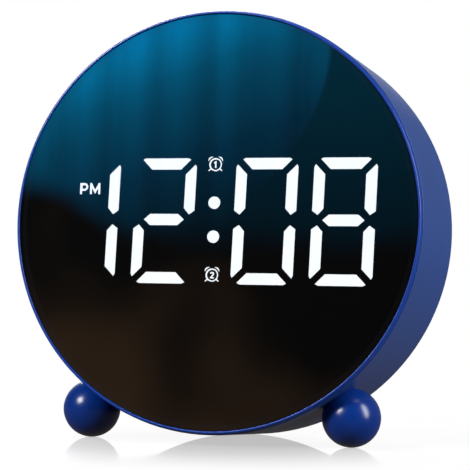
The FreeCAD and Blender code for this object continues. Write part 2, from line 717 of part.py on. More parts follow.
def bar_points():
    """The seven bars of an upright figure about the middle of its middle bar."""
    half = figure_half_width.value
    stroke = figure_stroke.value
    gap = figure_setback.value
    blunt = figure_blunt.value
    inner = half - stroke
    middle = half - stroke / 2

    def level(height, sign):
        long_half = half - gap
        short_half = inner - gap
        side = [(long_half - 3 * blunt, sign * height),
                (long_half - blunt, sign * (height - blunt)),
                (short_half, sign * (height - stroke))]
        return side + [(-x, y) for x, y in reversed(side)]

    def upright(side, height, sign):
        end = height - gap
        return [(side * (half - blunt), sign * (end - blunt)),
                (side * half, sign * (end - 3 * blunt)),
                (side * half, sign * (gap + figure_outer_shoulder.value)),
                (side * middle, sign * gap),
                (side * inner, sign * (gap + figure_shoulder.value)),
                (side * inner, sign * (end - stroke))]

    tip = middle - gap
    flat = tip - figure_point.value
    upper = figure_upper.value
    lower = figure_lower.value
    return {
        "top": level(upper, 1),
        "middle": [(-tip, 0), (-flat, stroke / 2), (flat, stroke / 2),
                   (tip, 0), (flat, -stroke / 2), (-flat, -stroke / 2)],
        "bottom": level(lower, -1),
        "upper_right": upright(1, upper, 1),
        "upper_left": upright(-1, upper, 1),
        "lower_right": upright(1, lower, -1),
        "lower_left": upright(-1, lower, -1),
    }


def bar_faces(centre, names):
    """The named bars of the figure at CENTRE, slanted, on the front of the mask."""
    faces = []
    for name in names:
        points = [
            (centre.value + x + figure_slant.value * y, display_height.value + y)
            for x, y in bar_points()[name]
        ]
        faces.append(polygon(points, mask_front.value))
    return faces


def disc_face(x, y, radius):
    edge = Part.makeCircle(radius, Vector(x, y, -mask_front.value))
    return Part.Face(Part.Wire(edge))


def stroke_face(points, width):
    """A line of this width through the points, with square ends and mitred corners."""
    left = []
    right = []
    last = len(points) - 1
    for i, (x, y) in enumerate(points):
        before = points[max(i - 1, 0)]
        after = points[min(i + 1, last)]
        into = Vector(x - before[0], y - before[1], 0)
        out = Vector(after[0] - x, after[1] - y, 0)
        into = into.normalize() if i else out.normalize()
        out = out.normalize() if i < last else into
        across = Vector(-into.y - out.y, into.x + out.x, 0).normalize()
        reach = width / 2 / (across.x * -into.y + across.y * into.x)
        left.append((x + across.x * reach, y + across.y * reach))
        right.append((x - across.x * reach, y - across.y * reach))
    return polygon(left + right[::-1], mask_front.value)


def arc_points(x, y, radius, start, end):
    """Points along an arc, with its angles in degrees."""
    points = []
    for step in range(ARC_STEPS + 1):
        turn = math.radians(start + (end - start) * step / ARC_STEPS)
        points.append((x + radius * math.cos(turn), y + radius * math.sin(turn)))
    return points


def joined(faces):
    """One flat face from faces that overlap, found on top of their fused solids."""
    slabs = [flat.extrude(BACKWARD) for face in faces for flat in face.Faces]
    whole = slabs[0].multiFuse(slabs[1:]).removeSplitter()
    return max(whole.Faces, key=lambda face: face.CenterOfMass.z)


def letter_faces():
    """The letters P and M, and where the light enters each."""
    tall = letter_height.value
    width = letter_stroke.value
    stem = letter_left.value + width / 2
    foot = display_height.value + letter_rise.value
    top = foot + tall - width / 2
    bowl = letter_bowl.value
    bend = arc_points(stem + letter_straight.value, top - bowl, bowl, 90, -90)
    letter_p = joined([
        stroke_face([(stem, foot), (stem, foot + tall)], width),
        stroke_face([(stem, top)] + bend + [(stem, top - 2 * bowl)], width),
    ])
    left = stem + letter_pitch.value
    right = left + letter_span.value
    dip = ((left + right) / 2, foot + letter_dip.value)
    letter_m = joined([
        stroke_face([(left, foot), (left, foot + tall)], width),
        stroke_face([(right, foot), (right, foot + tall)], width),
        stroke_face([(left, top), dip, (right, top)], width),
    ])
    rise = foot + letter_well_rise.value
    return [letter_p, letter_m], [(stem, rise), (dip[0], rise)]


def turned(x, y, reach, degrees):
    """The point at this distance from X, Y, turned from straight up."""
    turn = math.radians(degrees)
    return x + reach * math.sin(turn), y + reach * math.cos(turn)


def icon_faces(y, figure):
    """A small alarm clock with a figure in it, and where the light enters each piece."""
    x = colon_x.value
    outer = icon_radius.value
    line = icon_stroke.value
    thin = icon_thin_stroke.value
    reach = icon_reach.value
    edge = outer - line / 2
    parts = [disc_face(x, y, outer).cut(disc_face(x, y, outer - line))]
    bells = []
    wells = [(x, y), (x, y - edge)]
    for side in (1, -1):
        bell_turn = side * icon_bell_angle.value
        bell = turned(x, y, reach - icon_bell_radius.value, bell_turn)
        near = outer + icon_bell_gap.value
        dome = disc_face(*bell, icon_bell_radius.value)
        bells.append(dome.cut(disc_face(x, y, near)))
        wells.append(turned(x, y, (near + reach) / 2, bell_turn))
        foot_turn_out = 180 - side * icon_foot_angle.value
        foot = [turned(x, y, edge, foot_turn_out), turned(x, y, reach, foot_turn_out)]
        parts.append(stroke_face(foot, thin))
    half = icon_figure_height.value / 2
    if figure == 1:
        flag = icon_flag.value
        numeral = stroke_face([(x - flag, y + half - flag), (x, y + half - thin / 2),
                               (x, y - half)], thin)
    else:
        bend = icon_bend.value
        low = y - half + thin / 2
        bow = arc_points(x, y + half - bend - thin / 2, bend, icon_bow_start.value,
                         icon_bow_end.value)
        numeral = joined([stroke_face(bow + [(x - bend, low)], thin),
                          stroke_face([(x - bend - thin / 2, low),
                                       (x + bend + thin / 2, low)], thin)])
    return [joined(parts), numeral] + bells, wells


FIGURES = (
    ("hour_tens", hour_tens_x, ("upper_right", "lower_right")),
    ("hour_units", hour_units_x, ("top", "upper_right", "middle", "lower_left", "bottom")),
    ("minute_tens", minute_tens_x, ("top", "upper_right", "lower_right", "bottom",
                                    "lower_left", "upper_left")),
    ("minute_units", minute_units_x, tuple(bar_points())),
)


def display_glyphs():
    """Flat faces of every light insert by node, and the places of the small wells."""
    glyphs = {}
    dark = []
    for name, centre, lit in FIGURES:
        glyphs[f"{name}_segments"] = bar_faces(centre, lit)
        dark += bar_faces(centre, [bar for bar in bar_points() if bar not in lit])
    glyphs["unlit_segments"] = dark
    middle = display_height.value
    dots = [middle + colon_rise.value, middle - colon_rise.value]
    glyphs["colon_dots"] = [disc_face(colon_x.value, y, colon_radius.value) for y in dots]
    glyphs["pm_letters"], wells = letter_faces()
    for figure, y in ((1, middle + icon_rise.value), (2, middle - icon_rise.value)):
        faces, icon_wells = icon_faces(y, figure)
        glyphs[f"alarm_{figure}_icon"] = faces
        wells += icon_wells
    return glyphs, wells


def extruded(faces, start, end):
    """Solids under the flat faces, from START to END behind the rim."""
    moved = []
    for face in faces:
        flat = face.copy()
        flat.translate(Vector(0, 0, mask_front.value - start))
        for piece in flat.Faces:
            moved.append(piece.extrude(Vector(0, 0, start - end)))
    return moved


def grown(face, gap):
    """The flat faces under a glyph, wider all round by GAP, or narrower."""
    return [piece.makeOffset2D(gap) for piece in face.Faces]


def make_display():
    """The black mask, the reflector, its milky inserts and the diodes behind them."""
    glyphs, wells = display_glyphs()
    for name, faces in glyphs.items():
        solids = extruded(faces, mask_front.value, insert_back.value)
        node(name, shaped(name, Part.makeCompound(solids)))
    every_face = [face for faces in glyphs.values() for face in faces]
    windows = [wide for face in every_face for wide in grown(face, window_clearance.value)]
    make_display_mask(windows)
    wide_faces = [face for name, faces in glyphs.items() for face in faces
                  if name.endswith(("segments", "dots"))]
    shafts = [thin for face in wide_faces for thin in grown(face, -insert_shelf.value)]
    shafts += [disc_face(x, y, small_well_radius.value) for x, y in wells]
    make_light_reflector(windows, shafts)
    diodes = [led_at(shaft.CenterOfMass) for shaft in shafts]
    node("display_leds", shaped("display_leds", Part.makeCompound(diodes)))


def make_display_mask(windows):
    """A thin black sheet whose windows follow the outlines of the inserts."""
    sheet_front = Vector(0, 0, -mask_back.value)
    blank = Part.makeCylinder(mask_radius.value, mask_thickness.value, sheet_front)
    outlines = [Part.Face(window.OuterWire) for window in windows]
    openings = extruded(outlines, mask_front.value, mask_back.value)
    node("display_mask", shaped("display_mask", blank.cut(openings)))


def make_light_reflector(windows, shafts):
    """A black block with a light shaft behind every insert and a hollow back."""
    block = cylinder("reflector_drum", mask_radius, reflector_back - mask_back,
                     z=-reflector_back)
    flange = cylinder("reflector_flange", spigot_radius, reflector_flange, z=-reflector_back)
    hollow_depth = reflector_back - mask_back - hollow_floor
    hollow = cylinder("hollow_drum", hollow_radius, hollow_depth, z=-reflector_back)
    kept = [box("hollow_middle", case_radius * 2, hollow_start * 2, hollow_depth, ZERO,
                display_height, reflector_back)]
    pilots = []
    drilled = screw_length - board_thickness + hole_spare
    for i, (x, y) in enumerate(corner_points(display_screw_spread, display_screw_spread)):
        kept.append(cylinder(f"hollow_boss{i}", hollow_boss_radius, hollow_depth, x, y,
                             -reflector_back))
        pilots.append(cylinder(f"display_pilot{i}", screw_pilot, drilled, x, y,
                               -reflector_back))
    hollows = cut("reflector_hollows", hollow, kept)
    solid = fuse("reflector_solid", [block, flange])
    blank = cut("reflector_blank", solid, [hollows] + pilots)
    doc.recompute()
    seats = extruded(windows, mask_back.value, insert_back.value)
    wells = extruded(shafts, insert_back.value, reflector_back.value)
    node("light_reflector", shaped("light_reflector", blank.Shape.cut(seats + wells)))


def led_at(spot):
    """A diode centred on a light shaft, on the front of the display board."""
    corner = Vector(spot.x - led_length.value / 2, spot.y - led_width.value / 2,
                    -reflector_back.value)
    return Part.makeBox(led_length.value, led_width.value, led_height.value, corner)


def make_display_board():
    body = new_body("display_board")
    pad(body, "board", display_board_back, board_thickness,
        lambda s: circle(s, display_board_radius))

    def holes(sketch):
        for x, y in corner_points(display_screw_spread, display_screw_spread):
            circle(sketch, screw_clear, x, y)

    pocket(body, "screw_holes", display_board_back, board_thickness, holes)
    node("display_board", body)
    screws = []
    for i, (x, y) in enumerate(corner_points(display_screw_spread, display_screw_spread)):
        seat = (x.value, y.value, -display_board_back.value)
        screws.append(case_screw(f"display_screw{i}", seat, FORWARD))
    node("display_board_screws", group("display_board_screws", screws))


def make_ribbon():
    """The ribbon cable and the connector on each board."""
    front = display_board_back + connector_depth
    rear = main_board_depth - connector_depth
    node("display_connector", box("display_connector", connector_width, connector_height,
                                  connector_depth, ZERO, display_plug_y, front))
    node("main_connector", box("main_connector", connector_width, connector_height,
                               connector_depth, ZERO, main_plug_y, main_board_depth))
    bend = ribbon_bend.value
    high = display_plug_y.value
    low = main_plug_y.value
    middle = (front.value + rear.value) / 2
    down = Vector(0, -1, 0)
    start = Vector(0, high, -front.value)
    first = Vector(0, high, bend - middle)
    second = Vector(0, high - bend, -middle)
    third = Vector(0, low + bend, -middle)
    fourth = Vector(0, low, -middle - bend)
    end = Vector(0, low, -rear.value)
    slope = math.sqrt(0.5)
    over = Vector(0, high - bend + bend * slope, bend - middle - bend * slope)
    under = Vector(0, low + bend - bend * slope, -middle - bend + bend * slope)
    route = Part.Wire([
        Part.LineSegment(start, first).toShape(),
        Part.Arc(first, over, second).toShape(),
        Part.LineSegment(second, third).toShape(),
        Part.Arc(third, under, fourth).toShape(),
        Part.LineSegment(fourth, end).toShape(),
    ])
    half = ribbon_thickness.value / 2
    side = ribbon_width.value / 2
    section = Part.makePolygon([
        start + RIGHT * side + down * half,
        start + RIGHT * side - down * half,
        start - RIGHT * side - down * half,
        start - RIGHT * side + down * half,
        start + RIGHT * side + down * half,
    ])
    node("display_ribbon", shaped("display_ribbon", route.makePipeShell([section], True)))


# ------------------------------------------------------------------- case and feet


def make_drum_shell():
    """The open drum: wall, rounded rear edge, ledge, bosses, ribs and openings."""
    body = new_body("shell_body")
    pad(body, "wall", case_depth, case_depth - rim_depth,
        lambda s: ring(s, case_radius, case_bore))
    ledge_back = cover_front
    pad(body, "seat_ring", case_depth, case_depth - ledge_back,
        lambda s: ring(s, case_bore, cover_seat_radius))
    pad(body, "ledge", ledge_back, ledge_thickness,
        lambda s: ring(s, case_bore, ledge_inner_radius))
    dress(body, "PartDesign::Fillet", "rear_rounding", rear_edge_radius,
          lambda e: is_circle(e, case_radius, case_depth))
    dress(body, "PartDesign::Fillet", "front_rounding", front_edge_radius,
          lambda e: is_circle(e, case_radius, rim_depth))

    spread = cover_screw_circle * math.sqrt(0.5)

    def bosses(sketch):
        for x, y in corner_points(spread, spread):
            circle(sketch, cover_boss_radius, x, y)

    def pilots(sketch):
        for x, y in corner_points(spread, spread):
            circle(sketch, screw_pilot, x, y)

    pad(body, "cover_bosses", ledge_back, cover_boss_length, bosses)
    drilled = screw_length - cover_thickness / 2 + hole_spare
    pocket(body, "cover_pilots", ledge_back, drilled, pilots)

    rib_middle = case_bore - rib_height / 2
    pad(body, "clamp_rib", reflector_back + rib_length, rib_length,
        lambda s: rectangle(s, rib_height + case_wall / 2, rib_width,
                            rib_middle + case_wall / 4))
    ribs = body.newObject("PartDesign::PolarPattern", "clamp_ribs")
    ribs.Originals = [body.Tip]
    ribs.Axis = (origin_feature(body, "Z_Axis"), [""])
    ribs.Angle = 360
    ribs.setExpression("Occurrences", rib_count.text)
    body.Tip = ribs
    doc.recompute()

    inside_wall = cylinder("inside_wall", case_radius - case_wall / 2, case_depth,
                           z=-case_depth)
    posts = []
    tools = []
    for side, name in ((1, "right"), (-1, "left")):
        x = snooze_post_x * side
        post = cylinder(f"snooze_post_{name}", post_radius,
                        case_radius - snooze_board_top, x, snooze_board_top,
                        -snooze_depth, UP)
        posts.append(common(f"snooze_post_trimmed_{name}", post, inside_wall))
        tools.append(cylinder(f"snooze_pilot_{name}", screw_pilot,
                              snooze_screw_length - board_thickness + hole_spare, x,
                              snooze_board_top, -snooze_depth, UP))
    slot_length = snooze_length + button_gap * 2
    slot_breadth = snooze_width + button_gap * 2
    tools.append(snooze_prism("snooze_slot", slot_length, slot_breadth,
                              snooze_board_top, case_radius + snooze_width))
    for side, name in ((1, "right"), (-1, "left")):
        x, y, z = foot_point(side, case_bore - case_wall)
        tools.append(cylinder(f"foot_hole_{name}", screw_clear, case_wall * 3, x, y, z,
                              foot_way(side)))
    whole = fuse("shell_with_posts", [body] + posts)
    node("drum_shell", cut("drum_shell", whole, tools))


def snooze_prism(name, length, width, low, high):
    """A stadium seen from above, from LOW to HIGH over the axis of the drum."""
    half = (length - width) / 2
    tall = high - low
    middle = doc.addObject("Part::Box", f"{name}_middle")
    middle.setExpression("Length", (half * 2).text)
    middle.setExpression("Width", tall.text)
    middle.setExpression("Height", width.text)
    place(middle, -half, low, -snooze_depth - width / 2)
    ends = [
        cylinder(f"{name}_{end}", width / 2, tall, x, low, -snooze_depth, UP)
        for end, x in (("left", -half), ("right", half))
    ]
    return fuse(name, [middle] + ends)


def foot_way(side):
    """Direction from the case's axis out through a ball foot."""
    return Vector(side * foot_sine.value, -foot_cosine.value, 0)


def foot_point(side, reach):
    """The point this far from the case's axis on the line through a ball foot."""
    return reach * foot_sine * side, -(reach * foot_cosine), -foot_setback


def make_ball_feet():
    """Two balls, each cut to the curve of the case and drilled for its screw."""
    screws = []
    for side, name in ((1, "right"), (-1, "left")):
        ball = doc.addObject("Part::Sphere", f"ball_{name}")
        ball.setExpression("Radius", foot_radius.text)
        place(ball, *foot_point(side, foot_reach), Rotation(FORWARD, foot_way(side)))
        seat = cylinder(f"foot_seat_{name}", case_radius + foot_seat_gap, case_depth * 2,
                        z=-case_depth)
        mouth = case_bore + screw_length + hole_spare - case_radius
        x, y, z = foot_point(side, case_radius)
        pilot = cylinder(f"foot_pilot_{name}", screw_pilot, mouth, x, y, z, foot_way(side))
        node(f"ball_foot_{name}", cut(f"ball_foot_{name}", ball, [seat, pilot]))
        x, y, z = foot_point(side, case_bore - head_clear())
        seat_point = (x.value, y.value, z.value)
        screws.append(case_screw(f"foot_screw_{name}", seat_point, foot_way(side)))
    node("foot_screws", group("foot_screws", screws))


def head_clear():
    """Drop of a flat screw head that sits against the curved inside of the case."""
    bore = case_bore.value
    return as_length(bore - math.sqrt(bore ** 2 - screw_head_radius.value ** 2))


# ------------------------------------------------------------------- rear cover


def board_post_points():
    """The four screw posts that carry the main board."""
    offset = board_height / 2 - board_screw_inset
    points = []
    for x in (board_screw_x, -board_screw_x):
        for y in (button_row_y + offset, button_row_y - offset):
            points.append((x, y))
    return points


def button_points():
    return [(button_pitch * step, button_row_y) for step in (-2, -1, 0, 1, 2)]


def grille_points():
    """The middle hole and rings of six, twelve, eighteen and so on round it."""
    points = [(speaker_x, speaker_y)]
    for number in range(1, int(grille_rings.value) + 1):
        radius = grille_pitch * number
        for step in range(6 * number):
            turn = 2 * math.pi * step / (6 * number)
            points.append((speaker_x + radius * math.cos(turn),
                           speaker_y + radius * math.sin(turn)))
    return points


def circles(radius, points):
    def draw(sketch):
        for x, y in points:
            circle(sketch, radius, x, y)
    return draw


def make_rear_cover():
    """The rear cover with its posts, speaker collar, battery tray and openings."""
    body = new_body("rear_cover")
    spread = cover_screw_circle * math.sqrt(0.5)
    corners = corner_points(spread, spread)
    pad(body, "plate", cover_back, cover_thickness, lambda s: circle(s, cover_radius))
    dress(body, "PartDesign::Chamfer", "edge_chamfer", cover_edge_chamfer,
          lambda e: is_circle(e, cover_radius, cover_back))
    pad(body, "board_posts", cover_front, cover_front - main_board_back,
        circles(post_radius, board_post_points()))

    def collar(sketch):
        circle(sketch, speaker_collar_radius, speaker_x, speaker_y)
        circle(sketch, speaker_radius + speaker_gap, speaker_x, speaker_y)

    pad(body, "speaker_collar", cover_front, speaker_collar_height, collar)
    recess_floor = cover_back - door_thickness
    well_floor = recess_floor - cell_well_depth()
    pad(body, "battery_tray", cover_front, cover_front - well_floor + tray_floor,
        lambda s: rectangle(s, tray_width, tray_height, cell_x, cell_y))

    pocket(body, "post_pilots", main_board_back + board_post_depth(), board_post_depth(),
           circles(screw_pilot, board_post_points()))
    pocket(body, "button_holes", cover_back, cover_thickness,
           circles(button_hole, button_points()))
    pocket(body, "grille", cover_back, cover_thickness,
           circles(grille_hole_radius, grille_points()))
    pocket(body, "screw_holes", cover_back, cover_thickness, circles(screw_clear, corners))
    pocket(body, "screw_counterbores", cover_back, cover_thickness / 2,
           circles(screw_head_hole, corners))
    pocket(body, "inlet_hole", cover_back, cover_thickness,
           lambda s: stadium(s, usb_width + usb_gap * 2, usb_height + usb_gap * 2,
                             ZERO, usb_y))
    pocket(body, "door_recess", cover_back, door_thickness,
           lambda s: rectangle(s, door_width + door_gap * 2, door_height + door_gap * 2,
                               cell_x, cell_y))
    pocket(body, "cell_well", recess_floor, cell_well_depth(),
           lambda s: circle(s, cell_radius + cell_gap, cell_x, cell_y))
    pocket(body, "door_pilot", recess_floor, door_screw_length,
           lambda s: circle(s, door_screw_radius + screw_hole_gap,
                            cell_x + door_screw_x, cell_y))
    node("rear_cover", body)
    screws = []
    for i, (x, y) in enumerate(corners):
        seat = (x.value, y.value, -(cover_back - cover_thickness / 2).value)
        screws.append(case_screw(f"cover_screw{i}", seat, FORWARD))
    node("rear_cover_screws", group("rear_cover_screws", screws))


def cell_well_depth():
    """Room for the coin cell between its two contacts."""
    return cell_thickness + contact_thickness * 2 + cell_play


def board_post_depth():
    return screw_length - board_thickness + hole_spare


def make_main_board():
    """The main board, its leg for the power inlet and the parts soldered to it."""
    body = new_body("main_board")
    leg_top = button_row_y - board_height / 2
    leg_height = leg_top + board_leg_bottom
    pad(body, "board", main_board_back, board_thickness,
        lambda s: rectangle(s, board_width, board_height, ZERO, button_row_y))
    pad(body, "leg", main_board_back, board_thickness,
        lambda s: rectangle(s, board_leg_width, leg_height + board_thickness, ZERO,
                            leg_top - leg_height / 2 + board_thickness / 2))
    pocket(body, "screw_holes", main_board_back, board_thickness,
           circles(screw_clear, board_post_points()))
    node("main_board", body)
    screws = []
    for i, (x, y) in enumerate(board_post_points()):
        seat = (x.value, y.value, -main_board_depth.value)
        screws.append(case_screw(f"board_screw{i}", seat, BACKWARD))
    node("main_board_screws", group("main_board_screws", screws))
    node("clock_chip", box("clock_chip", chip_width, chip_width, chip_height, chip_x,
                           chip_y, main_board_depth))
    node("crystal", lying_stadium("crystal", crystal_length, crystal_width,
                                  crystal_height, chip_x, crystal_y, main_board_depth))
    node("capacitor", cylinder("capacitor", capacitor_radius, capacitor_length,
                               capacitor_x, chip_y, -main_board_depth))


def make_power_inlet():
    """The metal power inlet: a stadium shell on a solid foot, with a tongue inside."""
    mouth = cover_back - usb_recess
    length = mouth - main_board_back
    outer = lying_stadium("inlet_outer", usb_width, usb_height, length, ZERO, usb_y, mouth)
    bore = length - usb_floor
    inner = lying_stadium("inlet_inner", usb_width - usb_wall * 2,
                          usb_height - usb_wall * 2, bore, ZERO, usb_y, mouth)
    shell = cut("inlet_shell", outer, [inner])
    tongue = box("inlet_tongue", usb_tongue_width, usb_tongue_height,
                 bore - usb_tongue_recess, ZERO, usb_y, mouth - usb_tongue_recess)
    node("power_inlet", shell)
    node("inlet_tongue", tongue)


def make_speaker():
    """A round speaker that faces the grille: frame, cone and magnet."""
    front = cover_front - speaker_frame_depth
    frame = cylinder("speaker_drum", speaker_radius, speaker_frame_depth, speaker_x,
                     speaker_y, -cover_front)
    bore = cylinder("speaker_bore", speaker_radius - speaker_rim,
                    speaker_frame_depth - speaker_back, speaker_x, speaker_y, -cover_front)
    node("speaker_frame", cut("speaker_frame", frame, [bore]))
    node("speaker_magnet", cylinder("speaker_magnet", magnet_radius, magnet_depth,
                                    speaker_x, speaker_y, -front))
    wide = speaker_radius - speaker_rim - speaker_gap
    back = front + speaker_back + cone_depth
    cone = doc.addObject("Part::Cone", "cone_outside")
    hollow = doc.addObject("Part::Cone", "cone_inside")
    for part, inset in ((cone, ZERO), (hollow, cone_wall)):
        part.setExpression("Radius1", (wide - inset).text)
        part.setExpression("Radius2", (cone_throat - inset).text)
        part.setExpression("Height", cone_depth.text)
        place(part, speaker_x, speaker_y, -back)
    hollow.setExpression("Height", (cone_depth - cone_wall).text)
    node("speaker_cone", cut("speaker_cone", cone, [hollow]))


# ------------------------------------------------------------------- battery


def make_coin_cell():
    """The backup cell, the strip under it and the strip that hooks over its edge."""
    back = cover_back - door_thickness - cell_play - contact_thickness
    floor = back - cell_thickness
    can = cylinder("cell_can", cell_radius, cell_thickness - cell_rim, cell_x, cell_y,
                   -back)
    cap = cylinder("cell_cap", cell_radius - cell_rim * 2, cell_thickness, cell_x,
                   cell_y, -back)
    node("coin_cell", fuse("coin_cell", [can, cap]))
    node("negative_contact", box("negative_contact", contact_width, cell_radius,
                                 contact_thickness, cell_x, cell_y, floor))
    near = cell_x - cell_radius - contact_setback
    leg = box("contact_leg", contact_thickness, contact_width,
              cell_thickness + contact_thickness * 2, near - contact_thickness / 2,
              cell_y, back + contact_thickness)
    lip = box("contact_lip", contact_lip, contact_width, contact_thickness,
              near + contact_lip / 2, cell_y, back + contact_thickness)
    node("positive_contact", fuse("positive_contact", [leg, lip]))


def make_battery_door():
    """The door over the coin cell, with finger grooves and its captive screw."""
    body = new_body("battery_door")
    pad(body, "plate", cover_back, door_thickness,
        lambda s: rectangle(s, door_width, door_height, cell_x, cell_y))
    dress(body, "PartDesign::Fillet", "corners", door_corner, is_lengthwise)
    screw_x = cell_x + door_screw_x
    pocket(body, "screw_hole", cover_back, door_thickness,
           lambda s: circle(s, door_screw_radius + screw_fit, screw_x, cell_y))
    pocket(body, "screw_counterbore", cover_back, door_screw_head_height,
           lambda s: circle(s, door_screw_head + screw_fit, screw_x, cell_y))

    def grip(sketch):
        for step in range(int(grip_count.value)):
            x = cell_x - door_screw_x + grip_pitch * step
            rectangle(sketch, grip_width, grip_length, x, cell_y)

    pocket(body, "grip_grooves", cover_back, grip_depth, grip)
    node("battery_door", body)
    seat = (screw_x.value, cell_y.value, -(cover_back - door_screw_head_height).value)
    node("battery_door_screw",
         screw("battery_door_screw", door_screw_radius, door_screw_head,
               door_screw_head_height, door_screw_length, seat, FORWARD))


def is_lengthwise(edge):
    """True for a straight edge that runs along the axis of the drum."""
    if not isinstance(edge.Curve, Part.Line):
        return False
    start, end = edge.Vertexes[0].Point, edge.Vertexes[-1].Point
    return abs(start.x - end.x) < 1e-6 and abs(start.y - end.y) < 1e-6


# ------------------------------------------------------------------- buttons

BUTTONS = ("set", "alarm", "up", "down", "dimmer")


def make_rear_buttons():
    """Five caps in the rear cover, each with its plunger, over a row of switches."""
    cap_back = cover_back + button_proud
    flange_back = cover_front - button_gap
    flange_front = flange_back - button_flange_thickness
    plunger_front = main_board_back + switch_floor + switch_spare + button_travel
    plunger_back = plunger_front + plunger_length
    switches = []
    for name, (x, y) in zip(BUTTONS, button_points()):
        body = new_body(f"{name}_button")
        pad(body, "cap", cap_back, cap_back - flange_back,
            lambda s: circle(s, button_radius, x, y))
        pad(body, "flange", flange_back, button_flange_thickness,
            lambda s: circle(s, button_flange_radius, x, y))
        pad(body, "stem", flange_front, flange_front - plunger_back,
            lambda s: circle(s, plunger_radius, x, y))
        dress(body, "PartDesign::Fillet", "cap_rounding", button_rounding,
              lambda e: is_circle(e, button_radius, cap_back))
        node(f"{name}_button", body)
        node(f"{name}_plunger", cylinder(f"{name}_plunger", plunger_radius,
                                         plunger_length, x, y, -plunger_back))
        back = main_board_back + switch_height
        block = box(f"{name}_switch_block", switch_width, switch_width, switch_height,
                    x, y, back)
        bore = cylinder(f"{name}_switch_bore", switch_bore, switch_height - switch_floor,
                        x, y, -back)
        switches.append(cut(f"{name}_switch", block, [bore]))
    node("button_switches", group("button_switches", switches))


def make_snooze():
    """The snooze bar on top of the case with its plunger, switch and board."""
    flange_radius = case_bore - button_gap
    tube = cut("snooze_flange_tube",
               cylinder("snooze_flange_outer", flange_radius, case_depth, z=-case_depth),
               [cylinder("snooze_flange_inner", flange_radius - snooze_flange_thickness,
                         case_depth, z=-case_depth)])
    flange_prism = snooze_prism("snooze_flange_prism", snooze_length + snooze_flange * 2,
                                snooze_width + snooze_flange * 2, snooze_board_top,
                                case_radius)
    flange = common("snooze_flange_plate", tube, flange_prism)
    cap_prism = snooze_prism("snooze_cap_prism", snooze_length, snooze_width,
                             snooze_board_top, case_radius + snooze_width)
    cap_tube = cut("snooze_cap_tube",
                   cylinder("snooze_cap_outer", case_radius + snooze_proud, case_depth,
                            z=-case_depth),
                   [cylinder("snooze_cap_inner", flange_radius - snooze_flange_thickness,
                             case_depth, z=-case_depth)])
    cap = common("snooze_cap", cap_tube, cap_prism)
    plunger_low = snooze_board_top + switch_floor + switch_spare + snooze_travel
    plunger_high = plunger_low + plunger_length
    stem = cylinder("snooze_stem", plunger_radius,
                    flange_radius - snooze_flange_thickness / 2 - plunger_high, ZERO,
                    plunger_high, -snooze_depth, UP)
    node("snooze_button", fuse("snooze_button", [flange, cap, stem]))
    node("snooze_plunger", cylinder("snooze_plunger", plunger_radius, plunger_length,
                                    ZERO, plunger_low, -snooze_depth, UP))
    block = doc.addObject("Part::Box", "snooze_switch_block")
    block.setExpression("Length", switch_width.text)
    block.setExpression("Width", switch_height.text)
    block.setExpression("Height", switch_width.text)
    place(block, -switch_width / 2, snooze_board_top, -snooze_depth - switch_width / 2)
    bore = cylinder("snooze_switch_bore", switch_bore, switch_height - switch_floor, ZERO,
                    snooze_board_top + switch_floor, -snooze_depth, UP)
    node("snooze_switch", cut("snooze_switch", block, [bore]))

    board = doc.addObject("Part::Box", "snooze_board_blank")
    board.setExpression("Length", snooze_board_length.text)
    board.setExpression("Width", board_thickness.text)
    board.setExpression("Height", snooze_width.text)
    place(board, -snooze_board_length / 2, snooze_board_y,
          -snooze_depth - snooze_width / 2)
    holes = []
    screws = []
    for side, name in ((1, "right"), (-1, "left")):
        x = snooze_post_x * side
        holes.append(cylinder(f"snooze_board_hole_{name}", screw_clear, board_thickness,
                              x, snooze_board_y, -snooze_depth, UP))
        seat = (x.value, snooze_board_y.value, -snooze_depth.value)
        screws.append(screw(f"snooze_screw_{name}", screw_radius, screw_head_radius,
                            screw_head_height, snooze_screw_length, seat, UP))
    node("snooze_board", cut("snooze_board", board, holes))
    node("snooze_board_screws", group("snooze_board_screws", screws))


# ------------------------------------------------------------------- wires


def wire_pair(name, points, start_way, end_way, apart):
    """Two insulated wires side by side, each swept along a smooth line."""
    wires = []
    for side in (-0.5, 0.5):
        shift = apart * (side * wire_pitch.value)
        line = Part.BSplineCurve()
        line.interpolate(Points=[point + shift for point in points],
                         InitialTangent=start_way, FinalTangent=end_way)
        rim = Part.Wire(Part.makeCircle(wire_radius.value, points[0] + shift, start_way))
        route = Part.Wire(line.toShape())
        wires.append(route.makePipeShell([rim], True, True))
    node(name, shaped(name, Part.makeCompound(wires)))


def make_wires():
    """Wires from the speaker and from the snooze board to the main board."""
    board_rear = -main_board_back.value
    speaker_front = speaker_frame_depth.value - cover_front.value
    rise = (board_rear + speaker_front) / 2
    inset = wire_inset.value
    near = speaker_x.value + magnet_radius.value + inset
    start = Vector(near, speaker_y.value, speaker_front)
    end = Vector(inset - board_leg_width.value / 2, speaker_y.value, board_rear)
    middle = Vector((start.x + end.x) / 2, start.y, rise)
    wire_pair("speaker_wires", [start, middle, end], FORWARD, FORWARD, UP)
    low = button_row_y.value + board_height.value / 2 - inset
    start = Vector(snooze_board_length.value / 4, snooze_board_y.value, -snooze_depth.value)
    end = Vector(start.x, low, -main_board_depth.value)
    middle = Vector(start.x, (start.y + end.y) / 2, (start.z + end.z) / 2)
    wire_pair("snooze_wires", [start, middle, end], Vector(0, -1, 0), BACKWARD, RIGHT)


# ------------------------------------------------------------------- build and write


def check_document():
    for item in doc.Objects:
        if "Invalid" in item.State or "Error" in item.State:
            raise ValueError(f"{item.Name} failed: {item.State}")
    for part in nodes:
        if part.Shape.isNull() or not part.Shape.isValid():
            raise ValueError(f"{part.Label} has no valid shape")


def write_parts():
    os.makedirs("parts", exist_ok=True)
    for part in nodes:
        part.Shape.exportStep(os.path.join("parts", f"{part.Label}.step"))


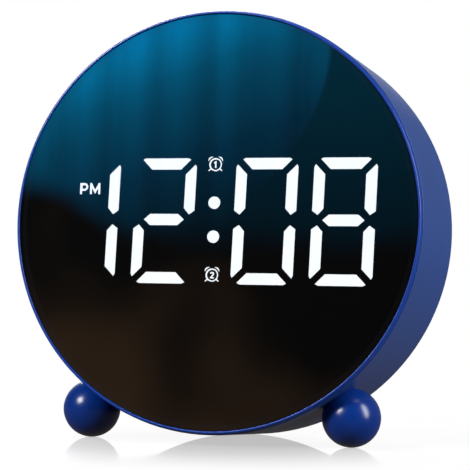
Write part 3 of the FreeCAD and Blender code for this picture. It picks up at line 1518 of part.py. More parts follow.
def main():
    make_front_bezel()
    make_mirror_lens()
    make_lens_tape()
    make_display()
    make_display_board()
    make_ribbon()
    make_drum_shell()
    make_ball_feet()
    make_rear_cover()
    make_main_board()
    make_power_inlet()
    make_speaker()
    make_coin_cell()
    make_battery_door()
    make_rear_buttons()
    make_snooze()
    make_wires()
    standing = standing_placement()
    for part in nodes:
        part.Placement = standing.multiply(part.Placement)
    doc.recompute()
    check_document()
    write_parts()


main()
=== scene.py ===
import json
import math

import bpy
from bpy.props import FloatProperty, FloatVectorProperty, IntProperty, PointerProperty
from mathutils import Matrix, Vector


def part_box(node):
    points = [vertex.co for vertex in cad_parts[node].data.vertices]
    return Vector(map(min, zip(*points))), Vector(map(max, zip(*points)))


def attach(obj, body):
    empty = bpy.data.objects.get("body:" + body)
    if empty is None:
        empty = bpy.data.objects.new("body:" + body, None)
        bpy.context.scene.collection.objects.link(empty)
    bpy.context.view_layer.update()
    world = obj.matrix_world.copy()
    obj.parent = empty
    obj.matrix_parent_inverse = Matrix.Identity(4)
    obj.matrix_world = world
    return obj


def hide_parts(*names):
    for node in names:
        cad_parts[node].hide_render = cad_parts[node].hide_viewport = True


bl_info = {
    "name": "Mirror Alarm Clock",
    "version": (1, 0, 0),
    "blender": (4, 5, 0),
    "location": "View3D > Sidebar > Mirror Clock",
    "description": "Finishes the packed mirror alarm clock and builds its stage",
    "category": "Object",
}

MM = 0.001
MERGE_DISTANCE = 0.001 * MM
SMOOTH_ANGLE = math.radians(30.0)
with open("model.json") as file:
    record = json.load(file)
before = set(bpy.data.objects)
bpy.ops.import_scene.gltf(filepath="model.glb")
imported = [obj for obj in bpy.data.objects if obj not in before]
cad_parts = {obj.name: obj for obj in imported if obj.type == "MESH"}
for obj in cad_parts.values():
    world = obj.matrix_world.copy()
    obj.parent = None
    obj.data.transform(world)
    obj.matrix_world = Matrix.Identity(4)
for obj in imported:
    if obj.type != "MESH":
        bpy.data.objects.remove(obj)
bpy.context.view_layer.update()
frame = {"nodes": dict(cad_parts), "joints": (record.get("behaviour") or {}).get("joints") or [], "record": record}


# ------------------------------------------------------------ the clock's own frame


def middle(node):
    """Middle of a node's box."""
    low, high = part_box(node)
    return (low + high) / 2


def across(node):
    """Width of a node in X, which for a round piece of the case is its diameter."""
    low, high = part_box(node)
    return high.x - low.x


def joint_axis(joint):
    """The way in which a joint moves its body."""
    return Vector(next(j["axis"] for j in frame["joints"] if j["name"] == joint))


# The rear buttons are pressed straight towards the reader, so their joint's axis is the
# direction that the face looks in. The lens is a plain disc, so the middle of its box
# is on the axis of the drum.
FACE = joint_axis("set_press").normalized()
LEAN = math.asin(FACE.z)
LENS_MIDDLE = middle("mirror_lens")


def leaning_length(node):
    """Length of a round piece along the drum's axis, from its leaning box."""
    low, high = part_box(node)
    return (high.y - low.y - across(node) * math.sin(LEAN)) / math.cos(LEAN)


LENS_RADIUS = across("mirror_lens") / 2
LENS_THICKNESS = leaning_length("mirror_lens")
BEZEL_RADIUS = across("front_bezel") / 2
BEZEL_LENGTH = leaning_length("front_bezel")
BEZEL_MIDDLE = middle("front_bezel")
RIM_FRONT = (BEZEL_MIDDLE - LENS_MIDDLE).dot(FACE) + BEZEL_LENGTH / 2
STAND = Matrix.Translation(LENS_MIDDLE) @ Matrix.Rotation(math.pi / 2 - LEAN, 4, "X")


# -------------------------------------------------------------- sizes and colours


def linear(hex_colour):
    """A colour written as sRGB hex, as the linear red, green, blue that shaders use."""
    values = [int(hex_colour[i : i + 2], 16) / 255 for i in (1, 3, 5)]
    return [v / 12.92 if v <= 0.04045 else ((v + 0.055) / 1.055) ** 2.4 for v in values]


def length(name, description, default_mm):
    return FloatProperty(
        name=name,
        description=description,
        default=default_mm * MM,
        unit="LENGTH",
        subtype="DISTANCE",
    )


def colour(name, description, hex_colour):
    return FloatVectorProperty(
        name=name,
        description=description,
        default=linear(hex_colour),
        subtype="COLOR",
        min=0.0,
        max=1.0,
    )


class ClockSizes(bpy.types.PropertyGroup):
    """Sizes of the pieces that are modelled here."""

    rim_width: length("Rim width", "Width of the rim seen from the front", 1.05)
    rim_depth: length("Rim depth", "Depth of the part of the rim that shows", 2.4)
    rim_rounding: length("Rim rounding", "Rounding of the rim's outer edge", 0.7)
    inner_rounding: length("Inner rounding", "Rounding of the rim's inner edge", 0.3)
    ledge_width: length("Ledge width", "Ledge that carries the lens", 2.8)
    ledge_drop: length("Ledge drop", "Front of the rim to the ledge", 1.7)
    spigot_step: length("Spigot step", "Spigot inside the outside of the rim", 2.15)
    lens_edge: length("Lens edge", "Polished chamfer round the lens", 0.15)
    turns: IntProperty(
        name="Turning steps",
        description="Flats around a turned piece",
        default=288,
        min=24,
    )


class ClockColours(bpy.types.PropertyGroup):
    """Colours of the finishes."""

    gloss_blue: colour("Gloss blue", "Polished plastic of the rim", "#1440a0")
    satin_blue: colour("Satin blue", "Plastic of the drum and snooze bar", "#244c98")
    ball_blue: colour("Ball blue", "Polished plastic of the ball feet", "#06348a")
    cover_blue: colour("Cover blue", "Fine-textured plastic of the back", "#28508e")
    lit_white: colour("Lit white", "Light of the figures", "#f4f9ff")


# ------------------------------------------------------------------ material helpers

# Kinds of node that come often, with their settings.
TIMES_PLUS = "ShaderNodeMath", {"operation": "MULTIPLY_ADD"}  # input 0 times 1, plus 2
SOFT_STEP = "ShaderNodeMapRange", {"interpolation_type": "SMOOTHSTEP"}
COLOUR_MIX = "ShaderNodeMix", {"data_type": "RGBA"}  # its colours are inputs 6 and 7


def rgba(value):
    """A hex or linear colour as the four numbers that a colour input takes."""
    return (*(linear(value) if isinstance(value, str) else value[:3]), 1.0)


def new_material(name):
    """An empty material and its node tree."""
    material = bpy.data.materials.new(name)
    material.use_nodes = True
    material.node_tree.nodes.clear()
    return material, material.node_tree


def add(tree, kind, settings=None, inputs=None, stops=()):
    """Adds a node with its settings and links.

    An input is a plain value, another node's output, or another node, which stands for
    its first output. STOPS are the (position, colour) pairs of a colour ramp.
    """
    node = tree.nodes.new(kind)
    for name, value in (settings or {}).items():
        setattr(node, name, value)
    for name, value in (inputs or {}).items():
        if isinstance(value, bpy.types.Node):
            value = value.outputs[0]
        if isinstance(value, bpy.types.NodeSocket):
            tree.links.new(value, node.inputs[name])
        else:
            node.inputs[name].default_value = value
    if stops:
        elements = node.color_ramp.elements
        while len(elements) < len(stops):
            elements.new(0.5)
        for element, (position, value) in zip(elements, stops):
            element.position = position
            element.color = rgba(value)
    return node


# ------------------------------------------------------------------------- finishes


def moulded(name, base, roughness, grain_mm, bump=0.0, shift=0.06, **fixed):
    """A moulded or painted finish: cloudy colour, uneven gloss and a fine grain.

    BASE is the colour, GRAIN_MM the size of the grain, BUMP its height in millimetres,
    and SHIFT how far the colour and the gloss wander. FIXED goes to the shader's own
    inputs.
    """
    material, tree = new_material(name)
    place = add(tree, "ShaderNodeTexCoord").outputs["Object"]
    # 45 clouds to the metre are about 22 mm across, as wide as flow marks in a moulding.
    cloud = add(tree, "ShaderNodeTexNoise", None,
                {"Vector": place, "Scale": 45.0, "Detail": 3.0})
    darker = [c * (1 - shift) for c in rgba(base)[:3]]
    lighter = [min(1.0, c * (1 + shift)) for c in rgba(base)[:3]]
    tint = add(tree, "ShaderNodeValToRGB", None, {"Fac": cloud},
               [(0.3, darker), (0.7, lighter)])
    gloss = add(tree, "ShaderNodeMapRange", None, {
        "Value": cloud, "From Min": 0.3, "From Max": 0.7,
        "To Min": roughness * (1 - shift), "To Max": roughness * (1 + shift)})
    inputs = {"Base Color": tint, "Roughness": gloss, **fixed}
    if bump:
        grain = add(tree, "ShaderNodeTexNoise", None,
                    {"Vector": place, "Scale": 1 / (grain_mm * MM), "Detail": 2.0})
        inputs["Normal"] = add(tree, "ShaderNodeBump", None, {
            "Height": grain, "Distance": bump * MM, "Strength": 1.0})
    shader = add(tree, "ShaderNodeBsdfPrincipled", None, inputs)
    add(tree, "ShaderNodeOutputMaterial", None, {"Surface": shader})
    return material


def mirror_with_painted_reflection():
    """Half-mirrored smoked acrylic: mostly opaque, and the lit figures shine through.

    The coating's colour holds a painted reflection of a room: blue-green at the top of the
    disc, most of all at its top left, black in the middle, and a warm brown cast low down.
    Soft upright curtain folds are painted into the blue-green, and a curved edge parts it
    from a darker painted side.
    """
    material, tree = new_material("Half-mirrored smoked acrylic, painted reflection")
    place = add(tree, "ShaderNodeTexCoord").outputs["Object"]
    # The painted reflection is drawn over the disc, from -1 at one edge to 1 at the other, so
    # all the lengths below are shares of the lens's radius.
    upright = STAND.inverted()
    turned = add(tree, "ShaderNodeMapping", {"vector_type": "POINT"}, {
        "Vector": place,
        "Location": upright.translation / LENS_RADIUS,
        "Rotation": upright.to_euler(),
        "Scale": (1 / LENS_RADIUS,) * 3,
    })
    split = add(tree, "ShaderNodeSeparateXYZ", None, {"Vector": turned})
    sideways, height = split.outputs["X"], split.outputs["Y"]

    # The painted blue-green reflection brightens upwards and to the left.
    rise = add(tree, *TIMES_PLUS, {0: sideways, 1: -0.35, 2: height})
    bright = add(tree, *TIMES_PLUS, {0: rise, 1: 0.667, 2: 0.133})
    painted_teal_reflection = add(tree, "ShaderNodeValToRGB", None, {"Fac": bright}, [
        (0.0, "#02121d"), (0.13, "#011c2a"), (0.22, "#012436"), (0.37, "#01314a"),
        (0.46, "#013e5a"), (0.56, "#014a69"), (0.65, "#005a7f"), (0.77, "#0076a6"),
        (0.9, "#0088c8")])

    # Painted reflection of eight upright curtain folds, about 19 mm wide, with finer creases between them.
    phase = add(tree, *TIMES_PLUS, {0: sideways, 1: 25.8, 2: 1.83})
    folds = add(tree, "ShaderNodeMath", {"operation": "COSINE"}, {0: phase})
    crease = add(tree, "ShaderNodeTexNoise", {"noise_dimensions": "1D"},
                 {"W": sideways, "Scale": 9.0, "Detail": 2.0})
    creased = add(tree, *TIMES_PLUS, {0: crease, 1: 0.5, 2: 0.77})
    painted_fold_shade = add(tree, *TIMES_PLUS, {0: folds, 1: -0.12, 2: creased})
    painted_curtain_folds = add(tree, "ShaderNodeVectorMath", {"operation": "SCALE"},
                 {0: painted_teal_reflection, "Scale": painted_fold_shade})

    # A darker side of the painted reflection lies right of an edge that is furthest out near
    # the top, 0.85 up, and curves inwards below.
    up = add(tree, *TIMES_PLUS, {0: height, 1: 0.5, 2: 0.5})
    darker = add(tree, "ShaderNodeValToRGB", None, {"Fac": up}, [
        (0.4, "#00141f"), (0.6, "#00212f"), (0.8, "#002d3d"), (1.0, "#003346")])
    drop = add(tree, *TIMES_PLUS, {0: height, 1: -1.0, 2: 0.85})
    bow = add(tree, "ShaderNodeMath", {"operation": "MULTIPLY"}, {0: drop, 1: drop})
    edge = add(tree, *TIMES_PLUS, {0: bow, 1: 0.68, 2: sideways})
    past_edge = add(tree, *SOFT_STEP, {"Value": edge, "From Min": 0.545, "From Max": 0.575})
    painted_upper_reflection = add(tree, *COLOUR_MIX, {"Factor": past_edge, 6: painted_curtain_folds, 7: darker}).outputs[2]

    # Soft warm patches of painted reflection grow towards the foot of the disc and towards its left.
    patches = add(tree, "ShaderNodeTexNoise", None,
                  {"Vector": turned, "Scale": 1.5, "Detail": 1.0})
    patched = add(tree, *TIMES_PLUS, {0: patches, 1: 0.65, 2: 0.0})
    depth = add(tree, *TIMES_PLUS, {0: height, 1: -0.45, 2: patched})
    leftward = add(tree, *TIMES_PLUS, {0: sideways, 1: -0.2, 2: depth})
    painted_warm_reflection = add(tree, *SOFT_STEP, {"Value": leftward, "From Min": 0.46, "From Max": 0.82})
    painted_lower_reflection = add(tree, *COLOUR_MIX,
                {"Factor": painted_warm_reflection, 6: rgba("#080808"), 7: rgba("#34261a")}).outputs[2]

    # The painted blue-green reflection ends in an uneven soft line across the middle, higher at the far left.
    cloud = add(tree, "ShaderNodeTexNoise", None,
                {"Vector": turned, "Scale": 2.2, "Detail": 2.0})
    uneven = add(tree, *TIMES_PLUS, {0: cloud, 1: 0.2, 2: -0.1})
    lift = add(tree, *SOFT_STEP, {"Value": sideways, "From Min": -1.0, "From Max": -0.35,
                                  "To Min": 0.27, "To Max": 0.0})
    fall = add(tree, *TIMES_PLUS, {0: lift, 1: -1.0, 2: height})
    line = add(tree, *TIMES_PLUS, {0: uneven, 1: 1.0, 2: fall})
    above = add(tree, *SOFT_STEP, {"Value": line, "From Min": -0.17, "From Max": 0.03})
    # All the colour drawn above is a painted reflection, set as the coating's base colour.
    painted_reflection_colour = add(tree, *COLOUR_MIX, {"Factor": above, 6: painted_lower_reflection, 7: painted_upper_reflection}).outputs[2]
    shader = add(tree, "ShaderNodeBsdfPrincipled", None, {
        "Base Color": painted_reflection_colour, "Roughness": 0.04, "IOR": 1.49, "Alpha": 0.65})
    add(tree, "ShaderNodeOutputMaterial", None, {"Surface": shader})
    return material


def lit_resin(light):
    """Milky light-guiding resin, lit by a diode behind it a little unevenly.

    The figures look white all over and faintly bluish, with soft patches in the glow.
    """
    material, tree = new_material("Milky resin, lit")
    place = add(tree, "ShaderNodeTexCoord").outputs["Object"]
    # 120 patches to the metre are about 8 mm across, two or three to a bar.
    cloud = add(tree, "ShaderNodeTexNoise", None,
                {"Vector": place, "Scale": 120.0, "Detail": 2.0})
    dimmer = [c * 0.94 for c in light[:3]]
    glow = add(tree, "ShaderNodeValToRGB", None, {"Fac": cloud},
               [(0.3, dimmer), (0.7, light)])
    resin = add(tree, "ShaderNodeValToRGB", None, {"Fac": cloud},
                [(0.3, "#dde2ea"), (0.7, "#e8ecf2")])
    shader = add(tree, "ShaderNodeBsdfPrincipled", None, {
        "Base Color": resin, "Roughness": 0.5,
        "Emission Color": glow, "Emission Strength": 8.6})
    add(tree, "ShaderNodeOutputMaterial", None, {"Surface": shader})
    return material


def make_finishes(colours):
    """One finish for each material slot of the clock."""
    metal = {"Metallic": 1.0}
    soft_shine = {"Specular IOR Level": 0.45}
    return {
        # Polished ABS: saturated, with a clear thin highlight along its edge.
        "rim_blue": moulded("Polished blue ABS", colours.gloss_blue, 0.3, 0.6,
                            **soft_shine),
        # Satin ABS from a lightly etched mould: wide soft highlights.
        "case_blue": moulded("Satin blue ABS", colours.satin_blue, 0.38, 0.5, 0.004),
        # Polished ABS, darker: small bright highlights that show how round the balls are.
        "foot_blue": moulded("Polished deep blue ABS", colours.ball_blue, 0.25, 0.6),
        # Spark-eroded mould texture: dull and slightly grainy.
        "cover_blue": moulded("Textured blue ABS", colours.cover_blue, 0.55, 0.5, 0.02),
        # Half-mirrored smoked acrylic, with a painted reflection of a room in its colour.
        "mirror_lens": mirror_with_painted_reflection(),
        # Closed-cell foam: drinks the light, with open pores.
        "black_foam": moulded("Foam tape", "#0b0b0b", 0.9, 0.3, 0.05),
        # Screen-printed film: flat black with a faint sheen.
        "black_mask": moulded("Black printed film", "#060607", 0.6, 0.4),
        # Matt mould texture: dark walls that keep each bar's light to itself.
        "black_reflector": moulded("Matt black ABS", "#0c0c0d", 0.6, 0.5, 0.01),
        "lit_segment": lit_resin(colours.lit_white),
        # The same resin with no light behind it, its milky colour painted near black as shade: lost against the
        # mask.
        "unlit_segment": moulded("Milky resin, unlit, painted dark", "#0a0a0c", 0.5, 0.5),
        # Cured lacquer over fibreglass: glassy green, mottled by the weave under it.
        "circuit_board": moulded("Green solder resist", "#0f4a2c", 0.35, 0.3, 0.004, 0.12),
        # Moulded resin: yellowish white with an even, waxy shine.
        "led_package": moulded("White diode package", "#f0ead2", 0.4, 0.2),
        # Undyed nylon: warm off-white, a little waxy.
        "connector_plastic": moulded("Ivory nylon", "#d8d2c0", 0.45, 0.4, 0.004),
        # Extruded vinyl: soft grey, slightly rippled.
        "ribbon_cable": moulded("Grey vinyl ribbon", "#8b8b90", 0.5, 0.6, 0.01),
        # Extruded vinyl: strong red with a soft shine.
        "wire_red": moulded("Red vinyl insulation", "#9c150f", 0.45, 0.4, 0.006),
        # Glass-filled nylon: dark grey-black with a dry surface.
        "black_plastic": moulded("Matt black nylon", "#0e0e10", 0.55, 0.4, 0.01),
        # Shrunk film: smooth, dark and shiny.
        "capacitor_sleeve": moulded("Dark shrink sleeve", "#11112a", 0.3, 0.5),
        # Nickel plate: bright, warm grey, with soft reflections.
        "nickel_steel": moulded("Nickel-plated steel", "#c0beb8", 0.28, 0.25, 0.003,
                                **metal),
        # Blackened zinc: a duller, darker metal.
        "screw_steel": moulded("Dark zinc-plated steel", "#6e6e74", 0.36, 0.25, 0.004,
                               **metal),
        # Pressed and fired powder: charcoal, with a fine tooth.
        "magnet_iron": moulded("Sintered ferrite", "#26262a", 0.6, 0.3, 0.01),
        # Felted pulp: deep black with no shine.
        "speaker_paper": moulded("Black paper cone", "#101010", 0.85, 0.4, 0.03),
        # Moulded silicone: soft black that never glints.
        "button_black": moulded("Soft black silicone", "#101012", 0.62, 0.4, 0.008),
        # Moulded acetal: smooth white with a slippery shine.
        "plunger_white": moulded("White acetal", "#e6e4dc", 0.35, 0.5),
    }


finishes = {}  # filled by main


def slot_of(node):
    """The record's material slot for a node."""
    return next(part["material_slot"] for part in frame["record"]["subparts"]
                if part["node"] == node)


def dress(piece, slot):
    piece.data.materials.clear()
    piece.data.materials.append(finishes[slot])


def dress_nodes(*nodes):
    """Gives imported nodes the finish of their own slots."""
    for node in nodes:
        dress(frame["nodes"][node], slot_of(node))


# ------------------------------------------------------------------ modelling helpers


def deselect_all():
    if bpy.context.object and bpy.context.object.mode != "OBJECT":
        bpy.ops.object.mode_set(mode="OBJECT")
    bpy.ops.object.select_all(action="DESELECT")


def select_only(piece):
    deselect_all()
    piece.select_set(True)
    bpy.context.view_layer.objects.active = piece


def turn_piece(name, profile, roundings, steps):
    """Turns a closed profile of (radius, forward) points about the drum's axis.

    ROUNDINGS gives, for some of the points, the radius that the corner is rounded to.
    """
    deselect_all()
    bpy.ops.mesh.primitive_circle_add(vertices=len(profile), radius=1.0)
    piece = bpy.context.object
    piece.name = name
    for vertex, (radius, forward) in zip(piece.data.vertices, profile):
        vertex.co = (radius, 0.0, forward)
    for index, rounding in sorted(roundings.items(), reverse=True):
        bpy.ops.object.mode_set(mode="EDIT")
        bpy.ops.mesh.select_all(action="DESELECT")
        bpy.ops.object.mode_set(mode="OBJECT")
        piece.data.vertices[index].select = True
        bpy.ops.object.mode_set(mode="EDIT")
        bpy.ops.mesh.bevel(offset=rounding, segments=6, affect="VERTICES")
        bpy.ops.object.mode_set(mode="OBJECT")
    bpy.ops.object.mode_set(mode="EDIT")
    bpy.ops.mesh.select_all(action="SELECT")
    bpy.ops.mesh.spin(steps=steps, angle=math.tau, center=(0, 0, 0), axis=(0, 0, 1))
    bpy.ops.mesh.select_all(action="SELECT")
    bpy.ops.mesh.remove_doubles(threshold=MERGE_DISTANCE)
    bpy.ops.mesh.normals_make_consistent(inside=False)
    bpy.ops.object.mode_set(mode="OBJECT")
    return piece


def finish_piece(piece, body):
    """Smooths a new piece, stands it up in the clock and lets it ride on its body."""
    select_only(piece)
    piece.matrix_world = STAND
    bpy.ops.object.transform_apply(location=True, rotation=True, scale=True)
    bpy.ops.object.shade_smooth_by_angle(angle=SMOOTH_ANGLE)
    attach(piece, body)
    return piece


def even_copy(node, name):
    """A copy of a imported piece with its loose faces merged, so that it shades evenly."""
    select_only(frame["nodes"][node])
    bpy.ops.object.duplicate()
    piece = bpy.context.object
    piece.name = name
    bpy.ops.mesh.customdata_custom_splitnormals_clear()
    bpy.ops.object.mode_set(mode="EDIT")
    bpy.ops.mesh.select_all(action="SELECT")
    bpy.ops.mesh.remove_doubles(threshold=MERGE_DISTANCE)
    bpy.ops.object.mode_set(mode="OBJECT")
    bpy.ops.object.shade_smooth_by_angle(angle=SMOOTH_ANGLE)
    evening = piece.modifiers.new("Even shading", "WEIGHTED_NORMAL")
    evening.keep_sharp = True
    evening.weight = 100
    bpy.ops.object.modifier_apply(modifier=evening.name)
    return piece


# --------------------------------------------------------------------------- pieces


class MIRRORCLOCK_OT_rim(bpy.types.Operator):
    """Turns the rounded rim with its ledge and spigot"""

    bl_idname = "mirrorclock.rim"
    bl_label = "Rim"

    def execute(self, context):
        sizes = context.scene.clock_sizes
        front = RIM_FRONT
        opening = BEZEL_RADIUS - sizes.rim_width
        bore = opening - sizes.ledge_width
        spigot = BEZEL_RADIUS - sizes.spigot_step
        shoulder = front - sizes.rim_depth
        ledge = front - sizes.ledge_drop
        rear = front - BEZEL_LENGTH
        profile = [
            (BEZEL_RADIUS, front), (opening, front), (opening, ledge), (bore, ledge),
            (bore, rear), (spigot, rear), (spigot, shoulder), (BEZEL_RADIUS, shoulder),
        ]
        roundings = {0: sizes.rim_rounding, 1: sizes.inner_rounding}
        rim = turn_piece("turned_rim", profile, roundings, sizes.turns)
        finish_piece(rim, "housing")
        dress(rim, "rim_blue")
        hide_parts("front_bezel")
        return {"FINISHED"}


class MIRRORCLOCK_OT_lens(bpy.types.Operator):
    """Turns the half-mirrored disc with its polished edge"""

    bl_idname = "mirrorclock.lens"
    bl_label = "Mirror lens"

    def execute(self, context):
        sizes = context.scene.clock_sizes
        deselect_all()
        bpy.ops.mesh.primitive_cylinder_add(
            vertices=sizes.turns, radius=LENS_RADIUS, depth=LENS_THICKNESS
        )
        lens = bpy.context.object
        lens.name = "lens_disc"
        bpy.ops.object.mode_set(mode="EDIT")
        bpy.ops.mesh.select_all(action="DESELECT")
        bpy.ops.object.mode_set(mode="OBJECT")
        for face in lens.data.polygons:
            face.select = abs(face.normal.z) > 0.5
        bpy.ops.object.mode_set(mode="EDIT")
        bpy.ops.mesh.region_to_loop()
        bpy.ops.mesh.bevel(offset=sizes.lens_edge, segments=2)
        bpy.ops.object.mode_set(mode="OBJECT")
        finish_piece(lens, "housing")
        dress(lens, "mirror_lens")
        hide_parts("mirror_lens")
        return {"FINISHED"}


class MIRRORCLOCK_OT_case(bpy.types.Operator):
    """Finishes the drum, its rear cover, the battery door and the snooze bar"""

    bl_idname = "mirrorclock.case"
    bl_label = "Case"

    def execute(self, context):
        dress_nodes("rear_cover", "battery_door", "snooze_button")
        drum = even_copy("drum_shell", "drum_case")
        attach(drum, "housing")
        dress(drum, "case_blue")
        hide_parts("drum_shell")
        return {"FINISHED"}


class MIRRORCLOCK_OT_feet(bpy.types.Operator):
    """Finishes the two ball feet"""

    bl_idname = "mirrorclock.feet"
    bl_label = "Ball feet"

    def execute(self, context):
        dress_nodes("ball_foot_left", "ball_foot_right")
        return {"FINISHED"}


class MIRRORCLOCK_OT_inside(bpy.types.Operator):
    """Finishes the display, the boards and everything else inside the case"""

    bl_idname = "mirrorclock.inside"
    bl_label = "Display and works"

    def execute(self, context):
        for node, piece in frame["nodes"].items():
            if piece.data.materials[0] not in finishes.values():
                dress_nodes(node)
        return {"FINISHED"}


# ---------------------------------------------------------------------------- stage


class MIRRORCLOCK_OT_stage(bpy.types.Operator):
    """Builds the floor, the softboxes, the pale surroundings and the camera"""

    bl_idname = "mirrorclock.stage"
    bl_label = "Stage"

    def execute(self, context):
        make_floor()
        make_surroundings(context.scene)
        make_back_card()
        for name, place, width, height, power in SOFTBOXES:
            make_softbox(name, Vector(place), width, height, power)
        make_camera(context.scene)
        return {"FINISHED"}


# Name, place in metres, width and height in metres, and power in watts.
SOFTBOXES = (
    ("Key softbox", (-0.55, -0.70, 0.54), 0.36, 0.36, 8.2),
    ("Right softbox", (0.87, -0.22, 0.44), 0.3, 0.8, 8.0),
    ("Top strip", (-0.22, -0.2, 0.85), 0.6, 0.07, 2.2),
    ("Back softbox", (-0.45, 0.95, 0.62), 0.5, 0.5, 11.5),
)


def make_softbox(name, place, width, height, power):
    """An oval area lamp that faces the middle of the lens."""
    data = bpy.data.lights.new(name, "AREA")
    data.shape = "ELLIPSE"
    data.size = width
    data.size_y = height
    data.energy = power
    lamp = bpy.data.objects.new(name, data)
    bpy.context.scene.collection.objects.link(lamp)
    lamp.location = place
    lamp.rotation_euler = (LENS_MIDDLE - place).to_track_quat("-Z", "Y").to_euler()


def make_floor():
    """A white board, polished around the clock, that bounces little light back."""
    deselect_all()
    bpy.ops.mesh.primitive_plane_add(size=6.0)
    floor = bpy.context.object
    floor.name = "floor"
    # Polished lacquer: white, with a reflection that fades and blurs away from the clock.
    material, tree = new_material("White polished board")
    white = rgba("#ffffff")
    path = add(tree, "ShaderNodeLightPath").outputs
    place = add(tree, "ShaderNodeTexCoord").outputs["Object"]
    away = add(tree, "ShaderNodeVectorMath", {"operation": "LENGTH"},
               {0: place}).outputs["Value"]

    # What the camera sees: plain white with the clock's shadow on it, and the polish.
    blank = add(tree, "ShaderNodeEmission", None, {"Color": white, "Strength": 1.0})
    matt = add(tree, "ShaderNodeBsdfDiffuse", None, {"Color": rgba("#f4f4f4")})
    shadow = add(tree, *SOFT_STEP, {"Value": away, "From Min": 0.08, "From Max": 0.22,
                                    "To Min": 0.12, "To Max": 0.0})
    board = add(tree, "ShaderNodeMixShader", None, {0: shadow, 1: blank, 2: matt})
    blur = add(tree, *SOFT_STEP, {"Value": away, "From Min": 0.05, "From Max": 0.14,
                                  "To Min": 0.02, "To Max": 0.35})
    mirror = add(tree, "ShaderNodeBsdfGlossy", None, {"Color": white, "Roughness": blur})
    polish = add(tree, *SOFT_STEP, {"Value": away, "From Min": 0.03, "From Max": 0.13,
                                    "To Min": 0.42, "To Max": 0.0})
    seen = add(tree, "ShaderNodeMixShader", None, {0: polish, 1: board, 2: mirror})

    # What the clock gets from it: a dim bounce, and a faint warm sheen in reflections.
    bounce = add(tree, "ShaderNodeBsdfDiffuse", None, {"Color": rgba("#403e3c")})
    sheen = add(tree, "ShaderNodeEmission", None,
                {"Color": rgba("#fff2e6"), "Strength": 0.13})
    unseen = add(tree, "ShaderNodeMixShader", None,
                 {0: path["Is Glossy Ray"], 1: bounce, 2: sheen})
    surface = add(tree, "ShaderNodeMixShader", None,
                  {0: path["Is Camera Ray"], 1: unseen, 2: seen})
    add(tree, "ShaderNodeOutputMaterial", None, {"Surface": surface})
    floor.data.materials.append(material)


def make_back_card():
    """A white card behind the clock that only the polished floor and plastic reflect."""
    deselect_all()
    bpy.ops.mesh.primitive_plane_add(
        size=1.0, location=(-0.8, 1.8, 0.4), rotation=(math.pi / 2, 0, math.radians(24))
    )
    card = bpy.context.object
    card.name = "back_card"
    card.scale = (1.5, 0.8, 1.0)
    # Matt white card, lit evenly: a clean white patch in what mirrors it.
    material, tree = new_material("White card")
    blank = add(tree, "ShaderNodeEmission", None,
                {"Color": rgba("#ffffff"), "Strength": 1.0})
    add(tree, "ShaderNodeOutputMaterial", None, {"Surface": blank})
    card.data.materials.append(material)
    card.visible_camera = card.visible_diffuse = card.visible_shadow = False
    card.visible_transmission = card.visible_volume_scatter = False


def make_surroundings(scene):
    """White for the camera; for light, dim grey; in reflections, a pale backdrop
    behind the clock and a dark room in front of it."""
    world = bpy.data.worlds.new("Pale studio")
    scene.world = world
    world.use_nodes = True
    tree = world.node_tree
    tree.nodes.clear()
    white = rgba("#ffffff")
    path = add(tree, "ShaderNodeLightPath").outputs
    way = add(tree, "ShaderNodeTexCoord").outputs["Generated"]
    back = add(tree, "ShaderNodeSeparateXYZ", None, {"Vector": way}).outputs["Y"]
    backdrop = add(tree, *SOFT_STEP, {"Value": back, "From Min": 0.0, "From Max": 0.7,
                                      "To Min": 0.02, "To Max": 0.16})
    seen = add(tree, "ShaderNodeBackground", None, {"Color": white, "Strength": 1.0})
    mirrored = add(tree, "ShaderNodeBackground", None,
                   {"Color": white, "Strength": backdrop})
    light = add(tree, "ShaderNodeBackground", None, {"Color": white, "Strength": 0.06})
    unseen = add(tree, "ShaderNodeMixShader", None,
                 {0: path["Is Glossy Ray"], 1: light, 2: mirrored})
    surface = add(tree, "ShaderNodeMixShader", None,
                  {0: path["Is Camera Ray"], 1: unseen, 2: seen})
    add(tree, "ShaderNodeOutputWorld", None, {"Surface": surface})


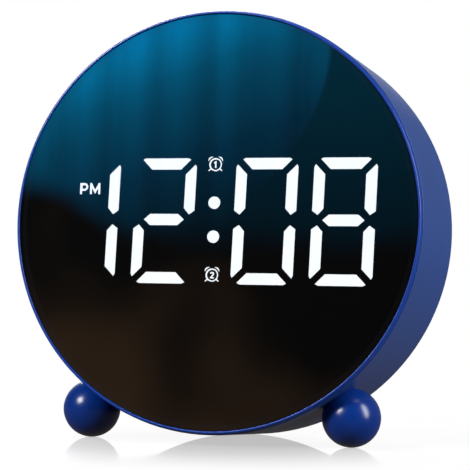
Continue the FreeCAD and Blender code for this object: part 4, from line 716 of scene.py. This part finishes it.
def make_camera(scene):
    """A camera low down and to the right of the clock, a little past its face."""
    data = bpy.data.cameras.new("Camera")
    data.sensor_width = 36.0
    data.lens = 145.65
    camera = bpy.data.objects.new("Camera", data)
    scene.collection.objects.link(camera)
    camera.location = (0.22492341, -0.70305202, 0.06740954)
    camera.rotation_euler = [math.radians(a) for a in (90.88044, -0.70605, 17.73411)]
    scene.camera = camera
    scene.view_settings.view_transform = "Standard"


# ---------------------------------------------------------------------- panel and run


PIECES = (
    MIRRORCLOCK_OT_rim,
    MIRRORCLOCK_OT_lens,
    MIRRORCLOCK_OT_case,
    MIRRORCLOCK_OT_feet,
    MIRRORCLOCK_OT_inside,
    MIRRORCLOCK_OT_stage,
)


class MIRRORCLOCK_PT_sidebar(bpy.types.Panel):
    """Lists the clock's pieces, sizes and colours"""

    bl_idname = "MIRRORCLOCK_PT_sidebar"
    bl_label = "Mirror alarm clock"
    bl_space_type = "VIEW_3D"
    bl_region_type = "UI"
    bl_category = "Mirror Clock"

    def draw(self, context):
        for piece in PIECES:
            self.layout.operator(piece.bl_idname)
        for group in (context.scene.clock_sizes, context.scene.clock_colours):
            for name in group.bl_rna.properties.keys():
                if name not in ("rna_type", "name"):
                    self.layout.prop(group, name)


CLASSES = (ClockSizes, ClockColours, *PIECES, MIRRORCLOCK_PT_sidebar)


def register():
    for cls in CLASSES:
        bpy.utils.register_class(cls)
    bpy.types.Scene.clock_sizes = PointerProperty(type=ClockSizes)
    bpy.types.Scene.clock_colours = PointerProperty(type=ClockColours)


def unregister():
    del bpy.types.Scene.clock_colours
    del bpy.types.Scene.clock_sizes
    for cls in reversed(CLASSES):
        bpy.utils.unregister_class(cls)


def main():
    register()
    finishes.update(make_finishes(bpy.context.scene.clock_colours))
    bpy.ops.mirrorclock.rim()
    bpy.ops.mirrorclock.lens()
    bpy.ops.mirrorclock.case()
    bpy.ops.mirrorclock.feet()
    bpy.ops.mirrorclock.inside()
    bpy.ops.mirrorclock.stage()


if __name__ == "__main__":
    main()
